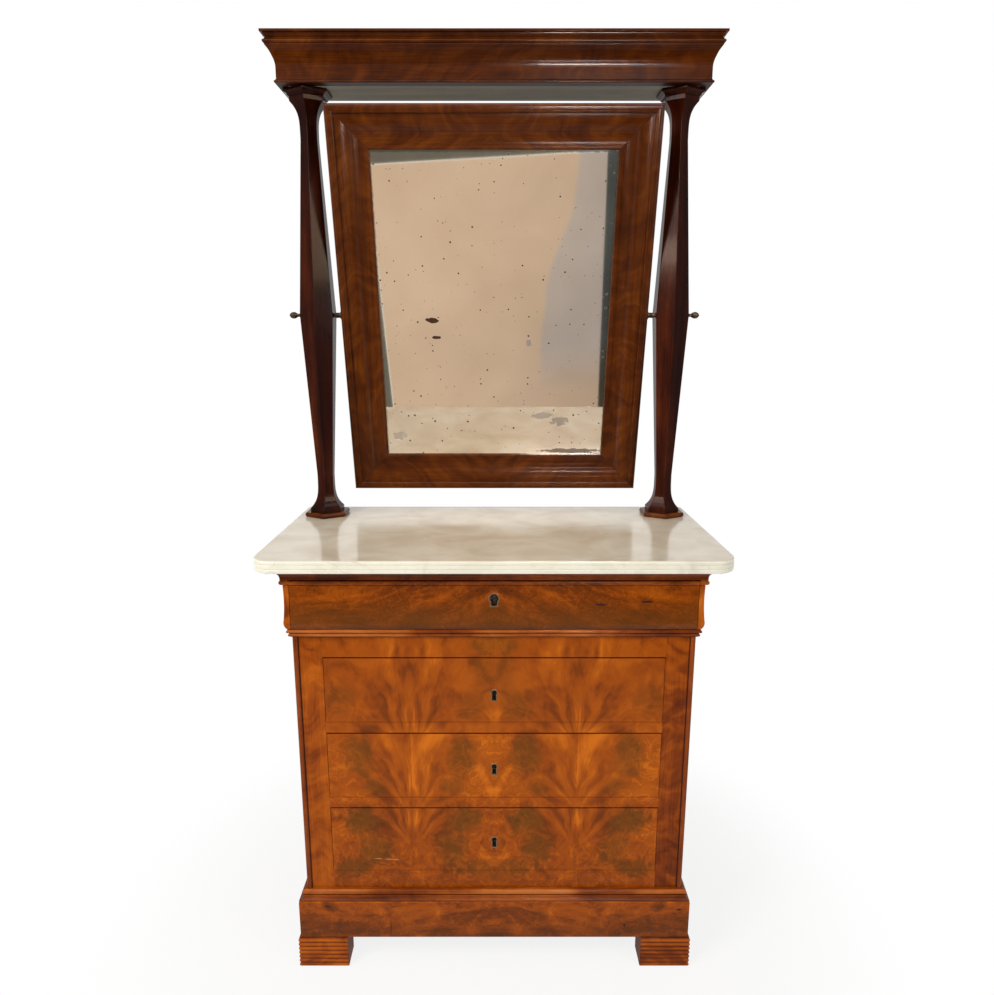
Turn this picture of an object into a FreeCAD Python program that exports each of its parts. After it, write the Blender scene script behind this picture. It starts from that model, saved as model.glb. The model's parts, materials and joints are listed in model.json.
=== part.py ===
import FreeCAD, Part
import math
import os
import Sketcher

# Dressing chest: four drawers under a marble slab, and a mirror that tilts between two
# six-sided columns under a cornice. Millimetres, +Z up, the front faces -Y, and the origin lies
# on the floor at the middle of the whole chest's footprint.

SIZES = [
    # marble slab
    ("marble_width", 950.0),
    ("marble_depth", 482.0),
    ("marble_thickness", 26.0),
    ("marble_front_corner", 45.0),
    ("marble_back_corner", 14.0),
    ("marble_arris", 3.0),
    # carcass, measured over the side panels and from the stiles' front to the back
    ("case_width", 828.0),
    ("case_depth", 414.0),
    ("marble_overhang", 61.0),
    ("panel_thickness", 22.0),
    ("stile_width", 59.0),
    ("stile_depth", 27.0),
    ("stile_rebate", 14.0),
    ("back_thickness", 15.0),
    ("back_member_width", 72.0),
    ("back_field_thickness", 7.0),
    ("bottom_board_thickness", 12.0),
    # heights from the floor upwards
    ("foot_height", 73.0),
    ("plinth_height", 92.0),
    ("base_moulding_height", 22.0),
    ("bottom_rail_height", 43.0),
    ("lower_drawer_height", 156.0),
    ("drawer_rail_height", 24.0),
    ("middle_drawer_height", 153.0),
    ("upper_drawer_height", 147.0),
    ("waist_rail_height", 46.0),
    ("waist_bead_height", 18.0),
    ("frieze_drawer_height", 108.0),
    ("bed_moulding_height", 27.0),
    # how far each moulding stands out of the carcass
    ("plinth_reach", 17.0),
    ("waist_bead_reach", 11.0),
    ("frieze_reach", 18.0),
    ("bed_moulding_reach", 36.0),
    ("stile_bead_width", 12.0),
    ("stile_bead_reach", 3.0),
    # feet
    ("foot_width", 110.0),
    ("foot_depth", 58.0),
    ("foot_reach", 5.0),
    ("back_foot_width", 66.0),
    # frame under the marble
    ("top_member_width", 70.0),
    # drawers
    ("drawer_side_gap", 1.0),
    ("drawer_top_gap", 2.5),
    ("drawer_foot_gap", 0.8),
    ("drawer_front_thickness", 22.0),
    ("drawer_side_thickness", 12.0),
    ("drawer_back_thickness", 10.0),
    ("drawer_lap", 14.0),
    ("drawer_length", 372.0),
    ("drawer_side_drop", 14.0),
    ("drawer_floor_thickness", 7.0),
    ("drawer_floor_height", 9.0),
    ("drawer_groove_depth", 5.0),
    ("groove_ease", 0.2),
    ("running_gap", 0.3),
    ("bearer_thickness", 18.0),
    ("bearer_catch", 16.0),
    ("guide_height", 16.0),
    ("guide_gap", 1.5),
    # locks
    ("lock_width", 62.0),
    ("lock_below_keyhole", 13.0),
    ("lock_thickness", 9.0),
    ("lock_ease", 0.1),
    ("bolt_width", 20.0),
    ("bolt_thickness", 4.0),
    ("bolt_height", 26.0),
    ("bolt_ease", 0.3),
    ("mortise_depth", 11.0),
    ("mortise_ease", 1.5),
    ("wide_keyhole_radius", 11.8),
    ("wide_keyhole_drop", 18.7),
    ("wide_keyhole_foot", 8.3),
    ("small_keyhole_radius", 8.2),
    ("small_keyhole_drop", 20.3),
    ("small_keyhole_foot", 7.2),
    ("escutcheon_wall", 3.0),
    ("escutcheon_depth", 6.0),
    ("escutcheon_stand", 0.4),
    ("keyhole_below_top", 76.8),
    ("frieze_keyhole_below_top", 37.7),
    # columns
    ("column_setback", 395.0),
    ("column_spacing", 814.0),
    ("column_height", 945.0),
    ("column_middle_radius", 43.3),
    ("column_neck_radius", 21.3),
    ("column_neck_height", 100.0),
    ("column_flare_radius", 40.0),
    ("column_block_radius", 42.0),
    ("column_block_height", 9.0),
    ("column_block_chamfer", 2.0),
    ("base_radius", 55.7),
    ("base_height", 11.0),
    ("capital_radius", 54.8),
    ("capital_height", 14.0),
    # cornice
    ("cornice_width", 916.0),
    ("cornice_depth", 120.0),
    ("cornice_height", 95.0),
    ("cornice_board", 20.0),
    ("cornice_reach", 23.7),
    ("cornice_back_thickness", 12.0),
    ("soffit_thickness", 10.0),
    ("dust_board_thickness", 8.0),
    ("dust_board_drop", 14.0),
    # mirror
    ("mirror_width", 705.0),
    ("mirror_end_gap", 40.0),
    ("mirror_member", 87.0),
    ("mirror_depth", 36.0),
    ("mirror_rebate_width", 8.0),
    ("mirror_rebate_depth", 14.0),
    ("glass_thickness", 4.0),
    ("glass_ease", 1.0),
    ("backboard_thickness", 8.0),
    ("mirror_tilt", 12.5),
    ("pivot_below_middle", 1.0),
    # pivots
    ("pivot_radius", 4.0),
    ("pivot_running_gap", 0.05),
    ("bush_radius", 6.0),
    ("bush_length", 20.0),
    ("bush_seat_ease", 0.1),
    ("bush_flange_radius", 9.0),
    ("bush_flange_thickness", 2.5),
    ("bush_nose", 13.0),
    ("pivot_reach_in_bush", 15.0),
    ("collar_radius", 7.0),
    ("collar_thickness", 2.5),
    ("collar_gap", 0.3),
    ("knob_neck_length", 7.5),
    ("knob_length", 18.5),
    ("knob_radius", 7.5),
    ("knob_tip_radius", 1.2),
    # every cut runs past the wood by this much
    ("overrun", 5.0),
]

# Mouldings, seen end on: each corner is a share of the moulding's reach and a share of its
# height, and a third share swells the edge before it (or hollows it, if it is less than zero).
PLINTH_SHARES = [(1.0, 0.0), (1.0, 0.97), (0.9, 1.0)]
BASE_MOULDING_SHARES = [(1.0, 0.0), (0.56, 0.42, -0.2), (0.45, 0.42), (0.45, 0.5), (0.62, 0.5),
                        (0.62, 1.0, 0.36)]
WAIST_BEAD_SHARES = [(0.3, 0.0), (0.3, 0.12), (0.6, 0.12), (0.6, 0.72, 0.38), (0.8, 0.76),
                     (0.8, 1.0)]
FRIEZE_SHARES = [(0.42, 0.0), (0.7, 0.2, 0.12), (0.62, 0.875, -0.02), (0.56, 0.885),
                 (0.7, 0.895), (0.7, 1.0, 0.4)]
BED_MOULDING_SHARES = [(0.42, 0.0), (0.42, 0.16), (0.92, 0.72, -0.2), (1.0, 0.72), (1.0, 1.0)]
CORNICE_SHARES = [(0.12, 0.0), (0.12, 0.045, 0.3), (0.0, 0.08), (0.0, 0.316),
                  (0.224, 0.537, -0.06), (0.69, 0.716, -0.05), (0.69, 0.745), (0.72, 0.82, 0.45),
                  (0.6, 0.87), (0.78, 0.945, 0.12), (1.0, 0.95), (1.0, 1.0)]
# The mirror frame from its sight edge outwards: share of the member's width, share of its depth.
MIRROR_SHARES = [(0.0, 0.5), (0.05, 0.56, 0.15), (0.3, 0.6, -0.08), (0.74, 0.86, 0.06),
                 (0.79, 0.86), (0.79, 0.93), (0.84, 0.985, 0.15), (0.95, 0.97, 0.08),
                 (1.0, 0.8, 0.15)]
# The rounded hexagons under and over each column: share of the height, share of the radius.
BASE_SHARES = [(0.0, 0.94), (0.18, 0.985), (0.5, 1.0), (0.8, 0.985), (1.0, 0.94)]
CAPITAL_SHARES = [(0.0, 0.8), (0.1, 0.83), (0.35, 0.86), (0.5, 0.93), (0.62, 1.0), (0.9, 1.0),
                  (1.0, 0.985)]

REED_COUNT = 7
REED_SWELL_SHARE = 0.21
STILE_BEAD_SWELL_SHARE = 0.25
# Where the ogee stands behind the keyholes of the frieze, as a share of its reach
FRIEZE_FACE_SHARE = 0.64
COLUMN_SIDES = 6
FLARE_STEPS = 8
FLARE_SPACING_POWER = 1.5
FLARE_POWER = 4.5
KEYHOLE_ARC_SHARE = 1.2243
KEYHOLE_CHORD_SHARES = (0.7, -0.7141)
# The olive knob from its tip to its neck: share of its length, share of its radius.
OLIVE_SHARES = [(0.84, 0.7), (0.42, 1.0)]

os.makedirs("parts", exist_ok=True)
DOC = FreeCAD.newDocument("DressingChest")
SHEET = DOC.addObject("Spreadsheet::Sheet", "Sizes")
NODES = []


class Size:
    """A length that follows the sheet, kept as the text that an expression takes."""

    def __init__(self, text):
        self.text = text

    def __add__(self, other):
        return Size(f"({self.text} + {text_of(other)})")

    def __radd__(self, other):
        return Size(f"({text_of(other)} + {self.text})")

    def __sub__(self, other):
        return Size(f"({self.text} - {text_of(other)})")

    def __rsub__(self, other):
        return Size(f"({text_of(other)} - {self.text})")

    def __mul__(self, share):
        return Size(f"({self.text} * {text_of(share)})")

    def __rmul__(self, share):
        return Size(f"({text_of(share)} * {self.text})")

    def __truediv__(self, share):
        return Size(f"({self.text} / {text_of(share)})")

    def __neg__(self):
        return Size(f"(0 - {self.text})")


def text_of(size):
    """The expression text of a size, a share or a count."""
    if isinstance(size, Size):
        return size.text
    return repr(size)


def value(size):
    """What a size measures now, in millimetres."""
    return float(SHEET.evalExpression(text_of(size)))


def distance(across, up):
    """The length of a slanted line from its two legs."""
    return Size(f"sqrt({across.text}^2 + {up.text}^2)")


def bind(item, name, size):
    """Ties one property of an object to a size."""
    item.setExpression(name, text_of(size))


def place(item, x=0, y=0, z=0):
    """Puts an object's own origin at a point that follows the sheet."""
    for axis, size in (("x", x), ("y", y), ("z", z)):
        bind(item, f"Placement.Base.{axis}", size)
    return item


def turn(item, outward, along, upward):
    """Points an object's own X, Y and Z axes three ways."""
    rotation = FreeCAD.Rotation(FreeCAD.Vector(*outward), FreeCAD.Vector(*along),
                                FreeCAD.Vector(*upward), "ZXY")
    item.Placement = FreeCAD.Placement(item.Placement.Base, rotation)
    return item


def fill_sheet():
    """Writes every size into the sheet as a plain number beside its name."""
    for row, (name, number) in enumerate(SIZES, start=1):
        SHEET.set(f"A{row}", name)
        SHEET.set(f"B{row}", str(number))
        SHEET.setAlias(f"B{row}", name)
    DOC.recompute()


def sized(name):
    """The size that the sheet keeps under a name."""
    return Size(f"Sizes.{name}")


def node(name, *pieces):
    """Makes one named sub-part of one or more solids."""
    whole = DOC.addObject("Part::Compound", name)
    whole.Links = list(pieces)
    whole.Label = name
    NODES.append(whole)
    return whole


def box(low, high, name="board"):
    """A square board between two corners, each a triple of sizes."""
    board = DOC.addObject("Part::Box", name)
    for side, start, end in zip(("Length", "Width", "Height"), low, high):
        bind(board, side, end - start)
    return place(board, *low)


def cylinder(radius, length, axis, name="rod"):
    """A round rod from the origin along X, Y or Z."""
    rod = DOC.addObject("Part::Cylinder", name)
    bind(rod, "Radius", radius)
    bind(rod, "Height", length)
    if axis == "x":
        turn(rod, (0, 0, -1), (0, 1, 0), (1, 0, 0))
    return rod


def cut(wood, waste, name="shaped"):
    """The wood less every piece of waste."""
    tool = waste[0]
    if len(waste) > 1:
        tool = DOC.addObject("Part::MultiFuse", "waste")
        tool.Shapes = list(waste)
    shaped = DOC.addObject("Part::Cut", name)
    shaped.Base = wood
    shaped.Tool = tool
    return shaped


def common(first, second, name="shaped"):
    """What two solids share."""
    shared = DOC.addObject("Part::Common", name)
    shared.Base = first
    shared.Tool = second
    return shared


def mirrored(piece, normal=(1, 0, 0), name="other_hand"):
    """The same piece on the other side of a plane through the origin."""
    other = DOC.addObject("Part::Mirroring", name)
    other.Source = piece
    other.Normal = FreeCAD.Vector(*normal)
    return other


def body(name):
    """An empty body whose sketches stand on its own origin planes."""
    return DOC.addObject("PartDesign::Body", name)


def sketch_on(solid, role):
    """A new sketch on one origin plane of a body."""
    sketch = solid.newObject("Sketcher::SketchObject", "outline")
    plane = next(item for item in solid.Origin.OriginFeatures if item.Role == role)
    sketch.AttachmentSupport = [(plane, "")]
    sketch.MapMode = "FlatFace"
    return sketch


def arc_between(start, end, swell):
    """The round edge from one corner to the next that rises by a share of its chord, to the
    right of the way it is drawn, and whether it runs that way round."""
    chord = end - start
    radius = chord.Length * (1 / (8 * abs(swell)) + abs(swell) / 2)
    to_left = FreeCAD.Vector(-chord.y, chord.x, 0).normalize()
    lift = radius - abs(swell) * chord.Length
    centre = (start + end) / 2 + to_left * math.copysign(1, swell) * lift
    first, last = (start, end) if swell > 0 else (end, start)
    from_angle = math.atan2(first.y - centre.y, first.x - centre.x)
    to_angle = math.atan2(last.y - centre.y, last.x - centre.x)
    circle = Part.Circle(centre, FreeCAD.Vector(0, 0, 1), radius)
    return Part.ArcOfCircle(circle, from_angle, to_angle), swell > 0


def draw(sketch, corners):
    """Draws a closed outline anticlockwise. Each corner is (across, up) or (across, up, swell),
    where the edge that ends there swells by that share of its chord."""
    spots = [FreeCAD.Vector(value(corner[0]), value(corner[1]), 0) for corner in corners]
    edges = []
    for index, corner in enumerate(corners):
        start, end = spots[index - 1], spots[index]
        swell = corner[2] if len(corner) > 2 else 0
        if swell:
            curve, forward = arc_between(start, end, swell)
        else:
            curve, forward = Part.LineSegment(start, end), True
        edges.append((sketch.addGeometry(curve, False), 1 if forward else 2, 2 if forward else 1))
    for index, corner in enumerate(corners):
        here, ahead = edges[index], edges[(index + 1) % len(edges)]
        sketch.addConstraint(Sketcher.Constraint("Coincident", here[0], here[2], ahead[0], ahead[1]))
        for kind, along, spot in (("DistanceX", corner[0], spots[index].x),
                                  ("DistanceY", corner[1], spots[index].y)):
            tie = sketch.addConstraint(Sketcher.Constraint(kind, -1, 1, here[0], here[2], spot))
            sketch.setExpression(f"Constraints[{tie}]", text_of(along))
        if len(corner) > 2:
            last = corners[index - 1]
            swell = abs(corner[2])
            chord = distance(as_size(corner[0]) - last[0], as_size(corner[1]) - last[1])
            radius = sketch.Geometry[here[0]].Radius
            tie = sketch.addConstraint(Sketcher.Constraint("Radius", here[0], radius))
            bend_share = 1 / (8 * swell) + swell / 2
            sketch.setExpression(f"Constraints[{tie}]", text_of(chord * bend_share))


def as_size(size):
    """A size made of a size or of nought."""
    return size if isinstance(size, Size) else Size(repr(size))


def pad(solid, sketch, length):
    """Grows a sketch into its body by a length."""
    feature = solid.newObject("PartDesign::Pad", "run")
    feature.Profile = sketch
    bind(feature, "Length", length)
    return feature


def pocket(solid, sketch):
    """Cuts a sketch right through its body both ways."""
    feature = solid.newObject("PartDesign::Pocket", "waste_cut")
    feature.Profile = sketch
    feature.Type = "ThroughAll"
    feature.Midplane = True
    return feature


def revolve(solid, sketch):
    """Turns a sketch once round its own horizontal axis."""
    feature = solid.newObject("PartDesign::Revolution", "turning")
    feature.Profile = sketch
    feature.ReferenceAxis = (sketch, ["H_Axis"])
    feature.Angle = 360
    return feature


def moulding_corners(shares, reach, height, root=0):
    """A moulding's outline: flat back and bottom, and a face whose corners are shares of its
    reach beyond the root and of its height."""
    face = [(root + share[0] * reach, share[1] * height, *share[2:]) for share in shares]
    return [(0, 0), *face, (0, height)]


def length_of_moulding(name, corners, length, mitres=(False, False), reach=None):
    """A straight length of moulding that faces its own +X and runs along its own -Y. A mitred
    end slants at 45 degrees, longest at the moulding's reach."""
    solid = body(name)
    sketch = sketch_on(solid, "XZ_Plane")
    draw(sketch, corners)
    pad(solid, sketch, length)
    past = sized("overrun")
    waste = []
    if mitres[0]:
        waste.append([(reach + past, past), (-past, past), (-past, -(reach + past))])
    if mitres[1]:
        waste.append([(reach + past, -(length + past)), (-past, reach + past - length),
                      (-past, -(length + past))])
    for triangle in waste:
        plan = sketch_on(solid, "XY_Plane")
        draw(plan, triangle)
        pocket(solid, plan)
    return solid


def round_the_case(corners, reach, half_width, front, back, foot):
    """A moulding round the front and both sides of a case: three lengths, mitred at the front
    corners. The front and back are places along Y, and the case's half width is at the
    moulding's back."""
    front_length = length_of_moulding("front_length", corners, 2 * (half_width + reach),
                                      (True, True), reach)
    turn(front_length, (0, -1, 0), (1, 0, 0), (0, 0, 1))
    place(front_length, half_width + reach, front, foot)
    side_length = length_of_moulding("side_length", corners, back - front + reach,
                                     (False, True), reach)
    place(side_length, half_width, back, foot)
    return front_length, side_length, mirrored(side_length)


fill_sheet()

# Places that several pieces share
HALF_CASE = sized("case_width") / 2
HALF_OPENING = HALF_CASE - sized("stile_width")
PIVOT_SETBACK = sized("column_setback")
LEAN_SHARE = Size("sin(Sizes.mirror_tilt)")
STAND_SHARE = Size("cos(Sizes.mirror_tilt)")
MIRROR_HEIGHT = sized("column_height") - 2 * sized("mirror_end_gap")
MIRROR_TAIL = ((MIRROR_HEIGHT / 2 - sized("pivot_below_middle")) * LEAN_SHARE
               + sized("mirror_depth") / 2 * STAND_SHARE)
TOTAL_DEPTH = PIVOT_SETBACK + MIRROR_TAIL
MARBLE_FRONT = -(TOTAL_DEPTH / 2)
CASE_FRONT = MARBLE_FRONT + sized("marble_overhang")
CASE_BACK = CASE_FRONT + sized("case_depth")
STILE_BACK = CASE_FRONT + sized("stile_depth")
INSIDE_BACK = CASE_BACK - sized("back_thickness")
COLUMN_Y = MARBLE_FRONT + PIVOT_SETBACK
COLUMN_X = sized("column_spacing") / 2

PLINTH_FOOT = sized("foot_height")
BASE_FOOT = PLINTH_FOOT + sized("plinth_height")
BOTTOM_RAIL_FOOT = BASE_FOOT + sized("base_moulding_height")
LOWER_FOOT = BOTTOM_RAIL_FOOT + sized("bottom_rail_height")
LOWER_RAIL_FOOT = LOWER_FOOT + sized("lower_drawer_height")
MIDDLE_FOOT = LOWER_RAIL_FOOT + sized("drawer_rail_height")
UPPER_RAIL_FOOT = MIDDLE_FOOT + sized("middle_drawer_height")
UPPER_FOOT = UPPER_RAIL_FOOT + sized("drawer_rail_height")
WAIST_FOOT = UPPER_FOOT + sized("upper_drawer_height")
WAIST_BEAD_FOOT = WAIST_FOOT + sized("waist_rail_height")
FRIEZE_FOOT = WAIST_BEAD_FOOT + sized("waist_bead_height")
BED_FOOT = FRIEZE_FOOT + sized("frieze_drawer_height")
MARBLE_FOOT = BED_FOOT + sized("bed_moulding_height")
MARBLE_TOP = MARBLE_FOOT + sized("marble_thickness")
CORNICE_FOOT = MARBLE_TOP + sized("column_height")


def marble_top():
    """The slab: broad round front corners, tight back ones, and eased edges top and bottom."""
    half = sized("marble_width") / 2
    deep = sized("marble_depth")
    front, back = sized("marble_front_corner"), sized("marble_back_corner")
    quarter_share = (math.sqrt(2) - 1) / 2
    slab = body("slab")
    plan = sketch_on(slab, "XY_Plane")
    draw(plan, [(-half + front, 0), (half - front, 0), (half, front, quarter_share),
                (half, deep - back), (half - back, deep, quarter_share), (-half + back, deep),
                (-half, deep - back, quarter_share), (-half, front),
                (-half + front, 0, quarter_share)][1:])
    block = pad(slab, plan, sized("marble_thickness"))
    DOC.recompute()
    rim = [f"Edge{number}" for number, edge in enumerate(block.Shape.Edges, start=1)
           if edge.BoundBox.ZLength < value(sized("marble_arris"))]
    easing = slab.newObject("PartDesign::Chamfer", "easing")
    easing.Base = (block, rim)
    bind(easing, "Size", sized("marble_arris"))
    place(slab, 0, MARBLE_FRONT, MARBLE_FOOT)
    node("marble_top", slab)


def side_panels():
    """The two plain sides, from the plinth to the frame under the marble."""
    low = (HALF_CASE - sized("panel_thickness"), STILE_BACK, PLINTH_FOOT)
    right = box(low, (HALF_CASE, CASE_BACK, BED_FOOT), "side")
    node("right_side_panel", right)
    node("left_side_panel", mirrored(right))


def front_stiles():
    """The front posts. Above the waist they step back behind the frieze drawer."""
    deep, rebate = sized("stile_depth"), sized("stile_rebate")
    post_height, step = BED_FOOT - PLINTH_FOOT, FRIEZE_FOOT - PLINTH_FOOT
    corners = [(0, 0), (deep, 0), (deep, step), (deep - rebate, step),
               (deep - rebate, post_height), (0, post_height)]
    post = length_of_moulding("post", corners, sized("stile_width"))
    turn(post, (0, -1, 0), (1, 0, 0), (0, 0, 1))
    place(post, HALF_CASE, STILE_BACK, PLINTH_FOOT)
    node("front_stiles", post, mirrored(post))
    side = HALF_CASE - sized("stile_bead_width")
    proud = sized("stile_bead_reach")
    bead = body("bead")
    plan = sketch_on(bead, "XY_Plane")
    draw(plan, [(HALF_CASE, 0), (side, 0), (side, -(proud / 2)),
                (HALF_CASE, -(proud / 2), STILE_BEAD_SWELL_SHARE)])
    pad(bead, plan, WAIST_BEAD_FOOT - BOTTOM_RAIL_FOOT)
    place(bead, 0, CASE_FRONT, BOTTOM_RAIL_FOOT)
    node("stile_beads", bead, mirrored(bead))


def mortise(foot, bolt_middle):
    """The waste of a lock bolt's mortise in the underside of the rail that stands at a height."""
    half = sized("bolt_width") / 2 + sized("mortise_ease")
    thick = sized("bolt_thickness") / 2 + sized("mortise_ease")
    low = (-half, bolt_middle - thick, foot - sized("overrun"))
    return box(low, (half, bolt_middle + thick, foot + sized("mortise_depth")), "mortise")


def bolt_line(front_back):
    """The middle of a lock's bolt, from the back of its drawer front."""
    return front_back - sized("lock_thickness") / 2


def rails():
    """The rails between the drawers, veneered with them, each mortised for the bolt below."""
    flush_bolt = bolt_line(CASE_FRONT + sized("drawer_front_thickness"))
    spans = {"waist_rail": [(WAIST_FOOT, FRIEZE_FOOT)],
             "drawer_rails": [(UPPER_RAIL_FOOT, UPPER_FOOT), (LOWER_RAIL_FOOT, MIDDLE_FOOT)]}
    for name, heights in spans.items():
        pieces = []
        for foot, top in heights:
            blank = box((-HALF_OPENING, CASE_FRONT, foot), (HALF_OPENING, STILE_BACK, top), "rail")
            pieces.append(cut(blank, [mortise(foot, flush_bolt)]))
        node(name, *pieces)
    node("bottom_rail", box((-HALF_OPENING, CASE_FRONT, BASE_FOOT),
                            (HALF_OPENING, STILE_BACK, LOWER_FOOT), "rail"))


def back_frame():
    """The framed back: two stiles, a muntin, two rails, and a thin panel in each half."""
    half = HALF_CASE - sized("panel_thickness")
    wide = sized("back_member_width")
    foot, top = BASE_FOOT, BED_FOOT
    stile = box((half - wide, INSIDE_BACK, foot), (half, CASE_BACK, top), "back_stile")
    muntin = box((-(wide / 2), INSIDE_BACK, foot + wide), (wide / 2, CASE_BACK, top - wide))
    low_rail = box((wide - half, INSIDE_BACK, foot), (half - wide, CASE_BACK, foot + wide))
    high_rail = box((wide - half, INSIDE_BACK, top - wide), (half - wide, CASE_BACK, top))
    node("back_frame", stile, mirrored(stile), muntin, low_rail, high_rail)
    inset = (sized("back_thickness") - sized("back_field_thickness")) / 2
    field = box((wide / 2, INSIDE_BACK + inset, foot + wide),
                (half - wide, CASE_BACK - inset, top - wide), "back_field")
    node("back_fields", field, mirrored(field))


def case_bottom():
    """The board that closes the carcass under the lowest drawer."""
    half = HALF_CASE - sized("panel_thickness")
    node("case_bottom", box((-half, STILE_BACK, BASE_FOOT),
                            (half, INSIDE_BACK, BASE_FOOT + sized("bottom_board_thickness"))))


def top_frame():
    """The frame that carries the marble; its front rail takes the frieze drawer's bolt."""
    wide = sized("top_member_width")
    frieze_bolt = bolt_line(CASE_FRONT + sized("stile_rebate") - sized("running_gap"))
    front_blank = box((-HALF_CASE, CASE_FRONT, BED_FOOT), (HALF_CASE, CASE_FRONT + wide, MARBLE_FOOT))
    front = cut(front_blank, [mortise(BED_FOOT, frieze_bolt)], "top_front")
    back = box((-HALF_CASE, CASE_BACK - wide, BED_FOOT), (HALF_CASE, CASE_BACK, MARBLE_FOOT))
    side = box((HALF_CASE - wide, CASE_FRONT + wide, BED_FOOT),
               (HALF_CASE, CASE_BACK - wide, MARBLE_FOOT))
    node("top_frame", front, back, side, mirrored(side))


def case_mouldings():
    """Plinth boards, base moulding, waist bead and the bed moulding under the marble."""
    plinth_reach = sized("plinth_reach")
    plinth = moulding_corners(PLINTH_SHARES, plinth_reach, sized("plinth_height"))
    front, right, left = round_the_case(plinth, plinth_reach, HALF_CASE, CASE_FRONT, CASE_BACK,
                                        PLINTH_FOOT)
    node("plinth_front", front)
    node("plinth_sides", right, left)
    runs = [("base_moulding", BASE_MOULDING_SHARES, "plinth_reach", "base_moulding_height", BASE_FOOT),
            ("waist_bead", WAIST_BEAD_SHARES, "waist_bead_reach", "waist_bead_height",
             WAIST_BEAD_FOOT),
            ("bed_moulding", BED_MOULDING_SHARES, "bed_moulding_reach", "bed_moulding_height",
             BED_FOOT)]
    for name, shares, reach_name, height_name, foot in runs:
        reach = sized(reach_name)
        corners = moulding_corners(shares, reach, sized(height_name))
        node(name, *round_the_case(corners, reach, HALF_CASE, CASE_FRONT, CASE_BACK, foot))


def frieze_ends():
    """The fixed ends beside the frieze drawer: its ogee runs along each side and, at the
    corner, across the front."""
    reach, high = sized("frieze_reach"), sized("frieze_drawer_height")
    along_side = length_of_moulding("end_side", moulding_corners(FRIEZE_SHARES, reach, high),
                                    sized("case_depth") + reach)
    place(along_side, HALF_CASE, CASE_BACK, FRIEZE_FOOT)
    across = moulding_corners(FRIEZE_SHARES, reach, high, sized("case_depth"))
    across_front = length_of_moulding("end_front", across, reach)
    turn(across_front, (0, -1, 0), (1, 0, 0), (0, 0, 1))
    place(across_front, HALF_CASE + reach, CASE_BACK, FRIEZE_FOOT)
    end = common(along_side, across_front, "frieze_end")
    node("frieze_ends", end, mirrored(end))


def reeded(depth):
    """The outline of a reeded face: a stack of half round reeds of one pitch."""
    pitch = sized("foot_height") / REED_COUNT
    line = depth - REED_SWELL_SHARE * pitch
    reeds = [(line, (index + 1) * pitch, REED_SWELL_SHARE) for index in range(REED_COUNT)]
    return [(0, 0), (line, 0), *reeds, (0, sized("foot_height"))]


def feet():
    """Two reeded blocks in front, reeded on their front and outer faces, and two plain ones
    behind."""
    wide, deep = sized("foot_width"), sized("foot_depth")
    outer = HALF_CASE + sized("plinth_reach") + sized("foot_reach")
    front = CASE_FRONT - sized("plinth_reach") - sized("foot_reach")
    side_face = length_of_moulding("foot_side", reeded(wide), deep)
    place(side_face, outer - wide, front + deep, 0)
    front_face = length_of_moulding("foot_front", reeded(deep), wide)
    turn(front_face, (0, -1, 0), (1, 0, 0), (0, 0, 1))
    place(front_face, outer, front + deep, 0)
    foot = common(side_face, front_face, "foot")
    node("front_feet", foot, mirrored(foot))
    edge = HALF_CASE + sized("plinth_reach")
    block = box((edge - sized("back_foot_width"), CASE_BACK - deep, Size("0")),
                (edge, CASE_BACK, sized("foot_height")), "back_foot")
    node("back_feet", block, mirrored(block))


def drawer_runners():
    """Under and beside each drawer, a bearer with a guide: an L along each side panel."""
    panel_face = HALF_CASE - sized("panel_thickness")
    catch = sized("drawer_side_gap") + sized("bearer_catch")
    width = panel_face - HALF_OPENING + catch
    guide = panel_face - HALF_OPENING - sized("guide_gap")
    thick, high = sized("bearer_thickness"), sized("guide_height")
    corners = [(0, 0), (width, 0), (width, thick), (guide, thick), (guide, thick + high),
               (0, thick + high)]
    pieces = []
    for foot in (LOWER_FOOT, MIDDLE_FOOT, UPPER_FOOT, FRIEZE_FOOT):
        runner = length_of_moulding("runner", corners, INSIDE_BACK - STILE_BACK)
        place(runner, -panel_face, INSIDE_BACK, foot - thick)
        pieces += [runner, mirrored(runner)]
    node("drawer_runners", *pieces)


def hexagon_stack(name, levels):
    """A six-sided turning with an arris to the front, through hexagons of a given height and
    circumradius: what three equal silhouettes share, each grown across two of its flats."""
    flat_share = math.cos(math.pi / COLUMN_SIDES)
    right = [(flat_share * radius, height) for height, radius in levels]
    left = [(-across, height) for across, height in reversed(right)]
    silhouettes = []
    for turned in range(COLUMN_SIDES // 2):
        solid = body("silhouette")
        sketch = sketch_on(solid, "XZ_Plane")
        draw(sketch, right + left)
        grown = pad(solid, sketch, 4 * sized("base_radius"))
        grown.Midplane = True
        angle = turned * 2 * math.pi / COLUMN_SIDES
        turn(solid, (math.cos(angle), math.sin(angle), 0), (-math.sin(angle), math.cos(angle), 0),
             (0, 0, 1))
        silhouettes.append(solid)
    stack = DOC.addObject("Part::MultiCommon", name)
    stack.Shapes = silhouettes
    return stack


def flare_levels():
    """Heights over the column's end and radii of its hollow flare, from the block to the neck:
    the radius falls to the neck's as a power of what is left of the flare's height."""
    start = (sized("base_height") + sized("column_block_height") + sized("column_block_chamfer"))
    rise = sized("column_neck_height") - start
    swell = sized("column_flare_radius") - sized("column_neck_radius")
    for step in range(FLARE_STEPS + 1):
        share = (step / FLARE_STEPS) ** FLARE_SPACING_POWER
        yield start + share * rise, sized("column_neck_radius") + swell * (1 - share) ** FLARE_POWER


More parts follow.
